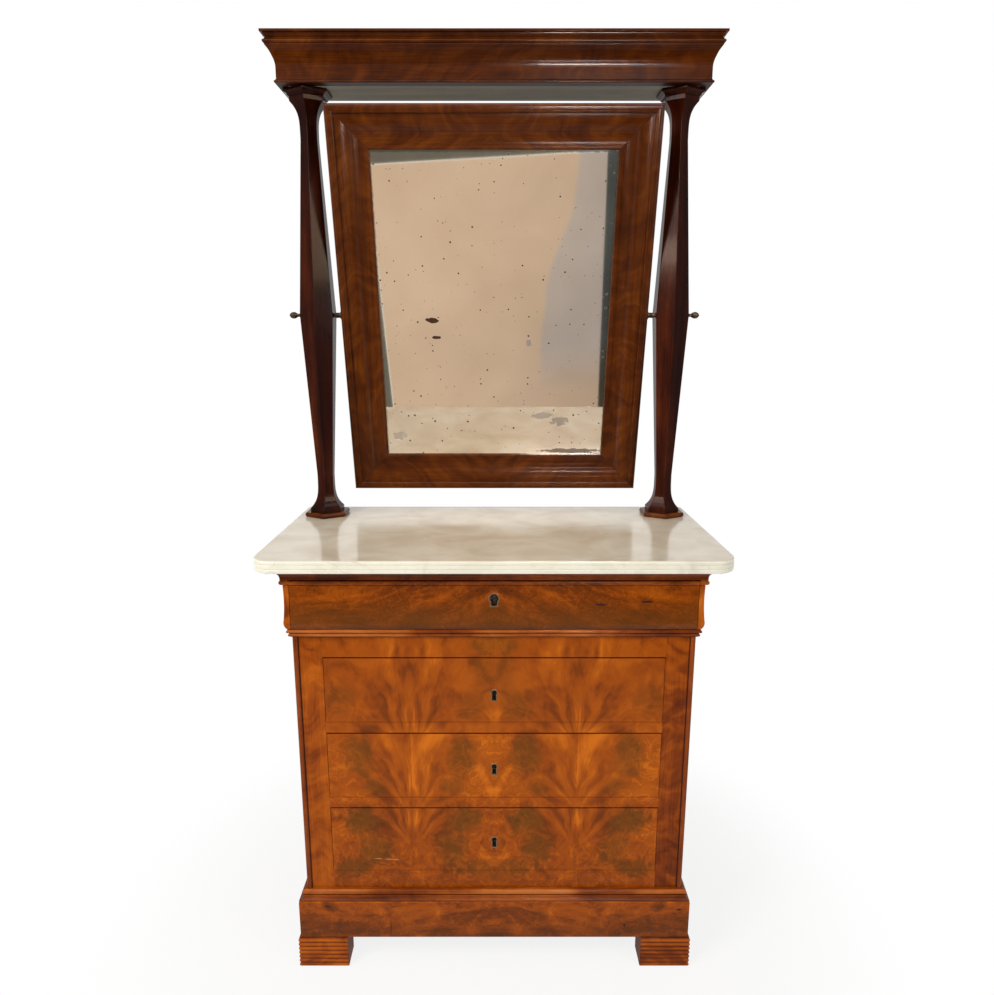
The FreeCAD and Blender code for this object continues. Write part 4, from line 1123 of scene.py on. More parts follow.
def weld(mesh: bpy.types.Mesh) -> None:
    """Joins patches whose borders meet, and turns their polygons outward.

    Args:
        mesh: the mesh, which is changed in place.
    """
    work = bmesh.new()
    work.from_mesh(mesh)
    bmesh.ops.remove_doubles(work, verts=work.verts, dist=1e-6)
    bmesh.ops.dissolve_degenerate(work, edges=work.edges, dist=1e-7)
    bmesh.ops.recalc_face_normals(work, faces=work.faces)
    work.to_mesh(mesh)
    work.free()


def dress(finish: Finish, *nodes: str) -> None:
    """Gives frame nodes a finish through their objects' material slots.

    Args:
        finish: what they are finished in.
        nodes: their names.
    """
    for node in nodes:
        for slot in frame["nodes"][node].material_slots:
            slot.material = finish.material()
        LOG.info("frame node %s: %s", node, finish.name)


# The sub-assemblies, from the floor upwards


@dataclass(frozen=True)
class Case:
    """The carcass's own places, read from the frame.

    Attributes:
        half: half the width over the side panels.
        front, back: the places of its front and back.
    """

    half: float
    front: float
    back: float

    @classmethod
    def from_frame(cls) -> Case:
        """The places, from the side panel and the waist rail."""
        panel_high = corners_of("right_side_panel")[1]
        return cls(panel_high[0], corners_of("waist_rail")[0][1], panel_high[1])


@dataclass(frozen=True)
class CaseMouldings:
    """Plinth, base moulding, waist bead and bed moulding, each in three mitred lengths.

    Attributes:
        case: the carcass that they go round.
        plinth_shares: the plinth board's section.
        plinth_ease: how far the plinth's edges are rounded.
        base_shares: a half-round bead over a quirk and a hollow, above the plinth.
        waist_shares: two half-round beads under the frieze, the upper one further out.
        bed_shares: the hollow and fillet under the marble.
    """

    case: Case
    plinth_shares: Corners = ((1.0, 0.0), (1.0, 0.97), (0.9, 1.0))
    plinth_ease: float = 1.2 * MM
    base_shares: Corners = ((1.0, 0.0), (0.56, 0.4, -0.2), (0.26, 0.4), (0.26, 0.46),
                            (0.3, 0.46), (0.3, 1.0, 0.5))
    waist_shares: Corners = ((0.3, 0.0), (0.3, 0.07), (0.34, 0.07), (0.34, 0.47, 0.5),
                             (0.34, 0.54), (0.64, 0.54), (0.64, 0.94, 0.46), (0.64, 1.0))
    bed_shares: Corners = ((0.42, 0.0), (0.42, 0.16), (0.92, 0.72, -0.2), (1.0, 0.72),
                           (1.0, 1.0))

    def lengths(self, shares: Corners, node: str,
                ease: float = 0.5 * MM) -> tuple[Shell, Shell, Shell]:
        """The three lengths of a moulding that fills a frame node's box.

        Args:
            shares: the moulding's section.
            node: the node's name.
            ease: how far the section's corners are rounded.

        Returns:
            The front, right and left lengths.
        """
        low, high = corners_of(node)
        section = moulding(shares, high[0] - self.case.half, high[2] - low[2], ease=ease)
        return round_the_case(section, self.case.half, self.case.front, self.case.back, low[2])

    def build(self) -> None:
        """Makes the plinth and the three mouldings."""
        low, high = corners_of("plinth_front")
        ahead, right, left = self.lengths(self.plinth_shares, "plinth_front", self.plinth_ease)
        knots = (Patch(-0.368, 0.152, 0.0055, 0.0022), Patch(0.408, 0.144, 0.006, 0.0022),
                 Patch(0.289, 0.104, 0.0026, 0.0042), Patch(-0.229, 0.098, 0.0008, 0.024, 0.8))
        swept = SweptVeneer("swept_plinth_veneer", 0.15, low[2], high[2] + 0.02, 0.75, knots,
                            0.07)
        add_piece("plinth_front_board", ahead, swept, "case", ["plinth_front"])
        add_piece("plinth_side_boards", joined(right, left), Wood.SIDE_MAHOGANY.along(Grain.Y),
                  "case", ["plinth_sides"])
        for node, shares in (("base_moulding", self.base_shares),
                             ("waist_bead", self.waist_shares), ("bed_moulding", self.bed_shares)):
            ahead, right, left = self.lengths(shares, node)
            add_piece(f"{node}_run", ahead, Wood.MOULDING_MAHOGANY.along(Grain.X), "case",
                      [node])
            add_piece(f"{node}_returns", joined(right, left), Wood.MOULDING_MAHOGANY.along(Grain.Y),
                      "case")


@dataclass(frozen=True)
class FriezeEnds:
    """The fixed ends beside the frieze drawer, an ogee on their front and outer sides.

    Attributes:
        case: the carcass that they are part of.
        shares: the ogee.
        reach: how far a share of 1 stands in front of the case.
        arris: how far the upright corner is cut back.
    """

    case: Case
    shares: Corners = ((0.42, 0.0), (0.7, 0.2, 0.12), (0.62, 0.875, -0.02), (0.56, 0.885),
                       (0.7, 0.895), (0.7, 1.0, 0.4))
    reach: float = 18 * MM
    arris: float = 0.4 * MM

    def ogee(self, ease: float) -> tuple[np.ndarray, np.ndarray]:
        """How far the ogee stands out, and at what heights, without the section's flat back.

        Args:
            ease: how far the section's corners are rounded.

        Returns:
            The distances and the heights, from the foot up.
        """
        low, high = corners_of("frieze_ends")
        outline = moulding(self.shares, self.reach, high[2] - low[2], ease=ease).points
        across, up = outline[outline[:, 0] > 0.1 * MM].T
        return across, low[2] + up

    def build(self) -> None:
        """Stacks square plans whose front and outer sides follow the ogee."""
        across, heights = self.ogee(0.5 * MM)
        inner, back = np.full_like(across, self.case.half), np.full_like(across, self.case.back)
        outer, ahead = self.case.half + across, self.case.front - across
        plans = cornered_plans((inner, back), (inner, ahead), (outer - self.arris, ahead),
                               (outer, ahead + self.arris), (outer, back))
        # The front face and its outer corner are marked 0.8 to 1, which paints them lighter, as
        # wear and painted highlight.
        end = loft(at_heights(plans, heights), np.array([0.0, 0.8, 1.0, 1.0, 0.0]))
        add_piece("frieze_end_blocks", joined(end, end.mirrored()),
                  Wood.STILE_MAHOGANY.along(Grain.Z), "case",
                  ["frieze_ends"])


@dataclass(frozen=True)
class ReededFeet:
    """Two blocks with seven half-round reeds on their front and outer faces.

    Attributes:
        width: how wide a foot is.
        count: how many reeds there are.
        swell: how far a reed stands out, as a share of its height.
        groove: how far from a reed's middle the painted shade of the groove starts, as a share of
            its height.
        samples: how many lines follow each reed's curve.
        arris: how far the upright corners are cut back.
    """

    width: float = 110 * MM
    count: int = 7
    swell: float = 0.3
    groove: float = 0.38
    samples: int = 12
    arris: float = 0.8 * MM

    def build(self) -> None:
        """Stacks square plans that step in between the reeds.

        A reed of pitch p and swell s is an arc of radius r = p (1 / (8 s) + s / 2); at a height
        v from its middle it stands sqrt(r^2 - v^2) - (r - s p) out from the line between reeds.
        """
        low, high = corners_of("front_feet")
        pitch = (high[2] - low[2]) / self.count
        radius = pitch * (1 / (8 * self.swell) + self.swell / 2)
        share = np.tile(np.linspace(-0.5, 0.5, self.samples + 1), self.count)
        reed = np.repeat(np.arange(self.count), self.samples + 1)
        heights = (reed + 0.5 + share) * pitch
        keep = np.abs(np.diff(heights, prepend=-1.0)) > 1e-7
        share, heights = share[keep], heights[keep]
        stand = np.sqrt(radius ** 2 - (share * pitch) ** 2) - (radius - self.swell * pitch)
        step_in = self.swell * pitch - stand
        inner, back = np.full_like(step_in, high[0] - self.width), np.full_like(step_in, high[1])
        outer, ahead, arris = high[0] - step_in, low[1] + step_in, self.arris
        plans = cornered_plans((inner, back), (inner, ahead + arris), (inner + arris, ahead),
                               (outer - arris, ahead), (outer, ahead + arris), (outer, back))
        # A reed's middle is painted lighter, as wear and painted highlight, and the groove between
        # reeds darker, as painted shade.
        crown = 0.7 * (1 - 2 * np.abs(share)) ** 2 - (np.abs(share) > self.groove)
        # The inner face is painted darker as shade, and the outer front corner a little lighter as
        # painted highlight.
        marks = crown[:, None] * np.array([0, 0, 1, 1, 1, 1]) \
            + np.array([-1.0, -1.0, 0.0, 0.3, 0.3, 0.0])
        foot = loft(at_heights(plans, low[2] + heights), marks)
        add_piece("front_foot_blocks", joined(foot, foot.mirrored()),
                  Wood.STILE_MAHOGANY.along(Grain.X), "case",
                  ["front_feet"])


@dataclass(frozen=True)
class Carcass:
    """The flat boards of the case, which keep their frame nodes, and the stiles' beads.

    Attributes:
        bead_width: how wide the strip with the bead is.
        quirk: the share of that width that the quirk beside the bead takes.
    """

    bead_width: float = 12 * MM
    quirk: float = 0.16

    def build(self) -> None:
        """Dresses every board, and rounds the beads on the outer edges of the stiles."""
        dress(FlameVeneer(), "waist_rail", "drawer_rails", "bottom_rail")
        dress(Wood.STILE_MAHOGANY.along(Grain.Z), "front_stiles")
        dress(Wood.SIDE_MAHOGANY.along(Grain.Z), "right_side_panel", "left_side_panel")
        dress(Wood.BARE_PINE.along(Grain.Z), "back_feet", "back_frame", "back_fields")
        dress(Wood.BARE_PINE.along(Grain.X), "case_bottom", "top_frame")
        dress(Wood.BARE_OAK.along(Grain.Y), "drawer_runners")
        self._beads()

    def _beads(self) -> None:
        """A half-round bead up the outer edge of each stile; the quirk inside it is painted dark,
        as dirt and painted shade.
        """
        low, high = corners_of("stile_beads")
        width, proud = self.bead_width, high[1] - low[1]
        quirk = self.quirk * width
        outline = drawn([(0.0, 0.0), (0.0, -0.12 * proud), (quirk, -0.12 * proud),
                         (quirk, -0.45 * proud), (width, -0.45 * proud, 0.27), (width, 0.0)], 16)
        section = eased(outline, 0.25 * MM)
        # The quirk is marked -1, which paints it dark, as dirt and painted shade.
        section = replace(section, edge=np.where(section.points[:, 0] < 1.1 * quirk, -1.0,
                                                 section.edge))
        bead = carried(section, (high[0] - width, high[1], low[2]), (0, 0, 1), (1, 0, 0),
                       (0, 1, 0), high[2] - low[2], stations=20)
        add_piece("stile_bead_strips", joined(bead, bead.mirrored()),
                  Wood.MOULDING_MAHOGANY.along(Grain.Z), "case",
                  ["stile_beads"])


class KeyholeSize(Enum):
    """Radius, drop and half width at the foot of the two sizes of keyhole."""

    WIDE = (11.8 * MM, 18.7 * MM, 8.3 * MM)
    SMALL = (8.2 * MM, 20.3 * MM, 7.2 * MM)


@dataclass(frozen=True)
class Keyhole:
    """A round hole over a foot that widens downwards.

    Attributes:
        size: its radius, drop and foot.
        height: the height of its round part's middle.
        shoulder: where the round part ends, as shares of its radius across and down.
        swell: the round part's rise over the line between its shoulders, as a share of it.
        wall: how thick its liner is.
        depth: how far the liner reaches into the wood.
        lip: how far the liner's rim stands out.
        dome: how much further the middle of its wall stands out.
    """

    size: KeyholeSize
    height: float
    shoulder: tuple[float, float] = (0.7, 0.7141)
    swell: float = 1.2243
    wall: float = 3.0 * MM
    depth: float = 5.6 * MM
    lip: float = 0.25 * MM
    dome: float = 0.55 * MM

    def outline(self, inset: float, arc_steps: int = 40) -> np.ndarray:
        """The outline drawn anticlockwise about its round part's middle, less an inset.

        Args:
            inset: how far inside the hole's own outline it lies.
            arc_steps: how many lines make the round part.

        Returns:
            An array of (across, up) points.
        """
        radius, drop, foot = (size - inset for size in self.size.value)
        across, down = self.shoulder[0] * radius, self.shoulder[1] * radius
        return drawn([(foot, -drop), (across, -down), (-across, -down, self.swell),
                      (-foot, -drop)], arc_steps)

    def reach_at(self, angles: np.ndarray, inset: float) -> np.ndarray:
        """How far the outline lies from its middle in each direction.

        Args:
            angles: the directions.
            inset: how far inside the hole's own outline it lies.

        Returns:
            One distance for each direction.
        """
        outline = self.outline(inset, 240)
        closed = np.concatenate([outline, outline[:1]])
        share = np.linspace(0, 1, 40)[:, None, None]
        dense = (closed[:-1] + share * np.diff(closed, axis=0)).transpose(1, 0, 2).reshape(-1, 2)
        own = np.arctan2(dense[:, 1], dense[:, 0])
        order = np.argsort(own)
        return np.interp(angles, own[order], np.hypot(*dense[order].T), period=2 * math.pi)

    def liner(self, face: float) -> Shell:
        """The metal lining: a hoop whose front lip is a low dome.

        Args:
            face: the place along Y that the lip stands on.

        Returns:
            The shell, about the middle of the chest.
        """
        share = np.linspace(0, 1, 9)
        insets = np.concatenate([[0.0], share * self.wall, [self.wall]])
        rim = self.dome * np.sqrt(np.sin(math.pi * share).clip(0)) + self.lip
        stand = np.concatenate([[-self.depth], rim, [-self.depth]])
        rings = []
        for inset, out in zip(insets, stand):
            across, up = self.outline(inset).T
            rings.append(np.stack([across, np.full_like(across, face - out), up + self.height], 1))
        marks = np.concatenate([[0.0], np.sin(math.pi * share[:-1]), [-1.0, -1.0]])[:, None]
        return loft(np.array(rings), marks, closed=True)


@dataclass(frozen=True)
class VeneeredFace:
    """A skin of veneer over a drawer front, pierced by its keyhole.

    Attributes:
        curve: the face seen end on, as (y, z) points from its foot to its top.
        half: half its width.
        keyhole: the hole in it.
        thickness: how thick the skin is.
        side: half the width of the patch round the keyhole.
        lap: how far the skin reaches in under the liner's lip.
        columns: how many columns of polygons lie on each side of the patch.
        steps: how many polygons lie along the patch's foot.
        rings: how many rings of points the patch has.
    """

    curve: np.ndarray
    half: float
    keyhole: Keyhole
    thickness: float = 1.2 * MM
    side: float = 30 * MM
    lap: float = 0.5 * MM
    columns: int = 10
    steps: int = 24
    rings: int = 12

    def _at(self, x: np.ndarray, run: np.ndarray, deep: float) -> np.ndarray:
        """Points of the face at a place across and a place along the curve, some way behind it.

        Args:
            x: the places across.
            run: the places along the curve, counted in its points.
            deep: how far behind the face the points lie.

        Returns:
            The points, in the grid that x and run make together.
        """
        index = np.arange(len(self.curve))
        y = np.interp(run, index, self.curve[:, 0]) + deep
        z = np.interp(run, index, self.curve[:, 1])
        return np.stack(np.broadcast_arrays(x, y, z), axis=-1)

    def _strip(self, low: float, high: float, deep: float) -> np.ndarray:
        """A grid of points over one side of the face, column by column."""
        x = np.linspace(low, high, self.columns + 1)
        return self._at(x[:, None], np.arange(len(self.curve))[None, :], deep)

    def _centre(self, deep: float) -> np.ndarray:
        """Rings from the keyhole out to the patch's square border, which starts at its foot.

        Args:
            deep: how far behind the face the rings lie.

        Returns:
            An array (rings, points in a ring, 3).
        """
        run = np.arange(len(self.curve))
        last = len(run) - 1
        across = np.linspace(-self.side, self.side, self.steps + 1)
        x = np.concatenate([across[:-1], np.full(last, self.side), across[:0:-1],
                            np.full(last, -self.side)])
        along = np.concatenate([np.zeros(self.steps), run[:-1], np.full(self.steps, run[-1]),
                                run[:0:-1]])
        z = np.interp(along, run, self.curve[:, 1]) - self.keyhole.height
        reach = self.keyhole.reach_at(np.arctan2(z, x), self.lap)
        scale = reach / np.hypot(x, z)
        hole_x, hole_z = x * scale, z * scale + self.keyhole.height
        hole_run = np.interp(hole_z, self.curve[:, 1], run)
        share = (np.linspace(0, 1, self.rings) ** 1.3)[:, None]
        return self._at(hole_x + (x - hole_x) * share, hole_run + (along - hole_run) * share, deep)

    def shell(self) -> Shell:
        """The whole skin as loose patches whose borders meet.

        Each grid has its front at 0 and its back at 1: both skins, the hole's wall, and the
        walls along the foot, the top and the two ends.

        Returns:
            The patches as one shell, still to be welded.
        """
        depths = (0.0, self.thickness)
        left = np.stack([self._strip(-self.half, -self.side, deep) for deep in depths])
        right = np.stack([self._strip(self.side, self.half, deep) for deep in depths])
        middle = np.stack([self._centre(deep) for deep in depths])
        hoop = np.concatenate([middle, middle[:, :, :1]], axis=2)
        top = self.steps + len(self.curve) - 1
        grids = [left[0], right[0], left[1], right[1], hoop[0], hoop[1], hoop[:, 0],
                 hoop[:, -1, :self.steps + 1], hoop[:, -1, top:top + self.steps + 1],
                 left[:, :, 0], left[:, :, -1], right[:, :, 0], right[:, :, -1],
                 left[:, 0], right[:, -1]]
        return joined(*map(open_grid, grids))


@dataclass(frozen=True)
class Drawer:
    """One drawer: a veneered face, a keyhole liner, and its frame nodes in bare wood and iron.

    Attributes:
        name: the drawer's body.
        size: its keyhole's size.
        proud: how far the veneer stands in front of the board that it is laid on.
        ease: how far the face's upper and lower edges are rounded.
    """

    name: str
    size: KeyholeSize
    proud: float = 0.2 * MM
    ease: float = 0.9 * MM

    def curve(self, low: np.ndarray, high: np.ndarray) -> np.ndarray:
        """The flat face seen end on, with its upper and lower edges rounded.

        Args:
            low, high: the corners of the drawer front's box.

        Returns:
            (y, z) points from the foot to the top.
        """
        tall, turn = high[2] - low[2], np.linspace(0, math.pi / 2, 6)
        foot = self.ease * np.stack([1 - np.sin(turn), 1 - np.cos(turn)], axis=1)
        flat = np.linspace(self.ease, tall - self.ease, 9)[1:-1]
        face = np.stack([np.zeros_like(flat), flat], axis=1)
        top = np.stack([foot[::-1, 0], tall - foot[::-1, 1]], axis=1)
        return np.concatenate([foot, face, top]) + np.array([low[1] - self.proud, low[2]])

    def finish(self) -> Finish:
        """The drawer's veneer."""
        return FlameVeneer()

    def build(self) -> None:
        """Makes the veneer and the liner, and dresses the rest."""
        low, high = corners_of(f"{self.name}_front")
        rim_top = corners_of(f"{self.name}_escutcheon")[1][2]
        keyhole = Keyhole(self.size, rim_top - self.size.value[0])
        curve = self.curve(low, high)
        skin = VeneeredFace(curve, high[0], keyhole)
        add_piece(f"{self.name}_veneer", skin.shell(), self.finish(), self.name,
                  welded=True)
        face = np.interp(keyhole.height, curve[:, 1], curve[:, 0])
        add_piece(f"{self.name}_keyhole_liner", keyhole.liner(face), BRASS, self.name,
                  [f"{self.name}_escutcheon"])
        dress(Wood.MOULDING_MAHOGANY.along(Grain.X), f"{self.name}_front")
        dress(Wood.BARE_OAK.along(Grain.Y), f"{self.name}_box")
        dress(Wood.BARE_OAK.along(Grain.X), f"{self.name}_floor")
        dress(IRON, f"{self.name}_lock", f"{self.name}_lock_bolt")


@dataclass(frozen=True)
class FriezeDrawer(Drawer):
    """The top drawer, whose face is the frieze's ogee.

    Attributes:
        dents: two bruises in its veneer.
    """

    dents: tuple[Patch, ...] = (
        Patch(0.2155, 0.8525, 0.0125, 0.0024), Patch(0.3095, 0.8585, 0.013, 0.0024))

    def curve(self, low: np.ndarray, high: np.ndarray) -> np.ndarray:
        """The ogee between the front's foot and its top.

        Args:
            low, high: the corners of the drawer front's box.

        Returns:
            (y, z) points from the foot to the top.
        """
        case = Case.from_frame()
        across, height = FriezeEnds(case).ogee(0.3 * MM)
        inside = (height > low[2] + 0.05 * MM) & (height < high[2] - 0.05 * MM)
        z = np.concatenate([low[2:], height[inside], high[2:]])
        return np.stack([case.front - np.interp(z, height, across) - self.proud, z], axis=1)

    def finish(self) -> Finish:
        """Flames that sweep down from the middle."""
        low, high = corners_of("frieze_drawer_front")
        return SweptVeneer("swept_frieze_veneer", 0.42, low[2] + 0.03, high[2] - 0.02, 0.3,
                           self.dents, 0.11, 0.65)


@dataclass(frozen=True)
class MarbleSlab:
    """The slab: broad round front corners, and an edge with two fine grooves.

    Attributes:
        front_radius, back_radius: the corners' radii.
        round_over, round_under: how far the top and bottom edges are rounded.
        belly: how far the edge's middle stands out beyond its top and bottom.
        groove_depth, groove_half: how deep a groove is, and half its width.
        groove_heights: the grooves' heights over the underside.
    """

    front_radius: float = 45 * MM
    back_radius: float = 14 * MM
    round_over: float = 3.4 * MM
    round_under: float = 1.5 * MM
    belly: float = 0.25 * MM
    groove_depth: float = 0.9 * MM
    groove_half: float = 1.1 * MM
    groove_heights: tuple[float, float] = (8.5 * MM, 17.5 * MM)

    def edge_profile(self, thickness: float) -> tuple[np.ndarray, np.ndarray, np.ndarray]:
        """How far the edge lies inside the plan at each height, and its edge values, which paint
        the grooves darker as shade and dirt.

        The edge swells a little at half height, a groove is a notch that narrows to its depth,
        and the top and bottom are quarter rounds. The heights lie closer together in all four.

        Args:
            thickness: how thick the slab is.

        Returns:
            The distances inside the plan, the heights over the underside and the edge values, -1 at
            a groove's middle.
        """
        heights = np.unique(np.concatenate([
            np.linspace(0, thickness, 53), np.linspace(0, self.round_under, 7),
            *[middle + np.linspace(-1.4, 1.4, 15) * MM for middle in self.groove_heights],
            thickness - self.round_over * (1 - np.sin(np.linspace(0, math.pi / 2, 9)))]))
        inset = self.belly * (2 * heights / thickness - 1) ** 2
        marks = np.zeros_like(heights)
        for middle in self.groove_heights:
            notch = np.clip(1 - np.abs(heights - middle) / self.groove_half, 0, 1)
            inset += self.groove_depth * notch ** 1.5
            marks -= notch
        for radius, past in ((self.round_over, heights - (thickness - self.round_over)),
                             (self.round_under, self.round_under - heights)):
            inset += radius - np.sqrt((radius ** 2 - past.clip(0) ** 2).clip(0))
        return inset, heights, marks

    def build(self) -> None:
        """Stacks rounded plans through the thickness."""
        low, high = corners_of("marble_top")
        inset, heights, marks = self.edge_profile(high[2] - low[2])
        radii = (self.front_radius, self.front_radius, self.back_radius, self.back_radius)
        plans = rounded_plan(low[:2], high[:2], radii, inset)
        slab = loft(at_heights(plans, low[2] + heights), marks[:, None])
        add_piece("marble_slab", slab, GreyVeinedMarble("grey_veined_marble", high[2]),
                  "case", ["marble_top"])


@dataclass(frozen=True)
class Columns:
    """Two six-sided spindles with hollow flares, each on a base and under a capital.

    Attributes:
        middle, neck, flare, block: the radii over the corners, from mid height to the ends.
        neck_height: how far the neck lies from an end.
        block_height: how high the square block at each end of the shaft is.
        chamfer: the slope between the block and the flare.
        arris, end_arris: how far the corners of a shaft and of its base and capital are rounded.
        base_shares, capital_shares: their sections, as shares of their height and radius.
    """

    middle: float = 43.3 * MM
    neck: float = 21.3 * MM
    flare: float = 40.0 * MM
    block: float = 42.0 * MM
    neck_height: float = 100 * MM
    block_height: float = 9 * MM
    chamfer: float = 2 * MM
    arris: float = 1.4 * MM
    end_arris: float = 1.6 * MM
    base_shares: Corners = ((0.0, 0.94), (0.18, 0.985), (0.5, 1.0), (0.8, 0.985), (1.0, 0.94))
    capital_shares: Corners = ((0.0, 0.8), (0.1, 0.83), (0.35, 0.86), (0.5, 0.93), (0.62, 1.0),
                               (0.9, 1.0), (1.0, 0.985))

    def hexagons(self, radii: np.ndarray, arris: float) -> tuple[np.ndarray, np.ndarray]:
        """Six-sided plans with a rounded corner to the front, one for each radius.

        A corner of rounding e lies on a circle of radius e about the point r - e / cos 30 out
        from the middle.

        Args:
            radii: the radii over the corners before they are rounded.
            arris: how far the corners are rounded.

        Returns:
            The plans, and the edge values of one plan's points, 1 at the middle of a rounded
            corner, which is painted lighter as wear and painted highlight.
        """
        corner = math.pi / 2 + np.arange(6) * math.pi / 3
        fan = np.linspace(-math.pi / 6, math.pi / 6, 5)
        centre = radii - arris / math.cos(math.pi / 6)
        plans = centre[:, None, None, None] * spokes(corner)[:, None] \
            + arris * spokes(corner[:, None] + fan)
        return plans.reshape(len(radii), -1, 2), np.tile(1 - np.abs(fan) / (math.pi / 6), 6)

    def stack(self, centre: np.ndarray, heights: np.ndarray, radii: np.ndarray,
              arris: float) -> Shell:
        """Hexagons stacked over a point."""
        plans, marks = self.hexagons(radii, arris)
        return loft(at_heights(plans + centre[:2], centre[2] + heights), marks)

    def shaft_levels(self, low: float, high: float, base: float,
                     capital: float) -> tuple[np.ndarray, np.ndarray]:
        """Heights and radii of a shaft: block, hollow flare, long taper, and back again.

        In the flare the radius is neck + (flare - neck) * (1 - t)^4.5 with t from 0 to 1.

        Args:
            low, high: the heights of the base's underside and the capital's top.
            base, capital: how high the base and the capital are.

        Returns:
            The heights, and the radius at each.
        """
        share = np.linspace(0, 1, 25) ** 1.5
        curve = self.neck + (self.flare - self.neck) * (1 - share) ** 4.5
        radii = np.concatenate([[self.block - 0.4 * MM, self.block, self.block], curve])
        ends = []
        for start in (base, capital):
            rise = start + self.block_height + self.chamfer
            ends.append(np.concatenate([[start, start + 0.5 * MM, rise - self.chamfer],
                                        rise + share * (self.neck_height - rise)]))
        heights = np.concatenate([low + ends[0], [(low + high) / 2], (high - ends[1])[::-1]])
        return heights, np.concatenate([radii, [self.middle], radii[::-1]])

    def build(self) -> None:
        """Makes both shafts, both bases and both capitals."""
        centre = sum(corners_of("right_column_shaft")) / 2
        base_low, base_high = corners_of("column_bases")
        cap_low, cap_high = corners_of("column_capitals")
        heights, radii = self.shaft_levels(base_low[2], cap_high[2], base_high[2] - base_low[2],
                                           cap_high[2] - cap_low[2])
        shaft = self.stack(np.array([centre[0], centre[1], 0.0]), heights, radii, self.arris)
        wood = Wood.COLUMN_MAHOGANY.along(Grain.Z)
        for side, shell in (("right", shaft), ("left", shaft.mirrored())):
            add_piece(f"{side}_column_spindle", shell, wood, "case",
                      [f"{side}_column_shaft"])
        fine = np.linspace(0, 1, 22)
        for node, shares, finish in (
                ("column_bases", self.base_shares, Wood.FOOT_MAHOGANY.along(Grain.X)),
                ("column_capitals", self.capital_shares, wood)):
            low, high = corners_of(node)
            profile = np.interp(fine, *np.array(shares).T) * (high[1] - low[1]) / 2
            end = self.stack(np.array([centre[0], centre[1], low[2]]),
                             fine * (high[2] - low[2]), profile, self.end_arris)
            add_piece(f"{node}_turned", joined(end, end.mirrored()), finish, "case",
                      [node])


@dataclass(frozen=True)
class Cornice:
    """The moulded front and returns, and the plain boards behind, below and above them.

    Attributes:
        board: how thick the moulded boards are behind their face.
        shares: the face: a small bead, a plain band, a hollow, a bead and a flaring fillet.
    """

    board: float = 20 * MM
    shares: Corners = ((0.12, 0.0), (0.12, 0.045, 0.3), (0.0, 0.08), (0.0, 0.316),
                       (0.224, 0.537, -0.06), (0.69, 0.716, -0.05), (0.69, 0.745),
                       (0.72, 0.82, 0.45), (0.6, 0.87), (0.78, 0.945, 0.12), (1.0, 0.95),
                       (1.0, 1.0))

    def build(self) -> None:
        """Runs the moulding round three sides and dresses the boards."""
        low, high = corners_of("cornice_front")
        inner_low, inner_high = corners_of("cornice_boards")
        half, front = inner_high[0], inner_low[1]
        reach = (high[0] - half) - self.board
        section = moulding(self.shares, reach, high[2] - low[2], self.board, 0.6 * MM)
        back = corners_of("cornice_returns")[1][1]
        ahead, right, left = round_the_case(section, half, front, back, low[2])
        add_piece("cornice_front_run", ahead, Wood.DARK_MAHOGANY.along(Grain.X), "case",
                  ["cornice_front"])
        add_piece("cornice_return_runs", joined(right, left), Wood.DARK_MAHOGANY.along(Grain.Y),
                  "case", ["cornice_returns"])
        dress(Wood.BARE_DUSTY.along(Grain.X), "cornice_boards")


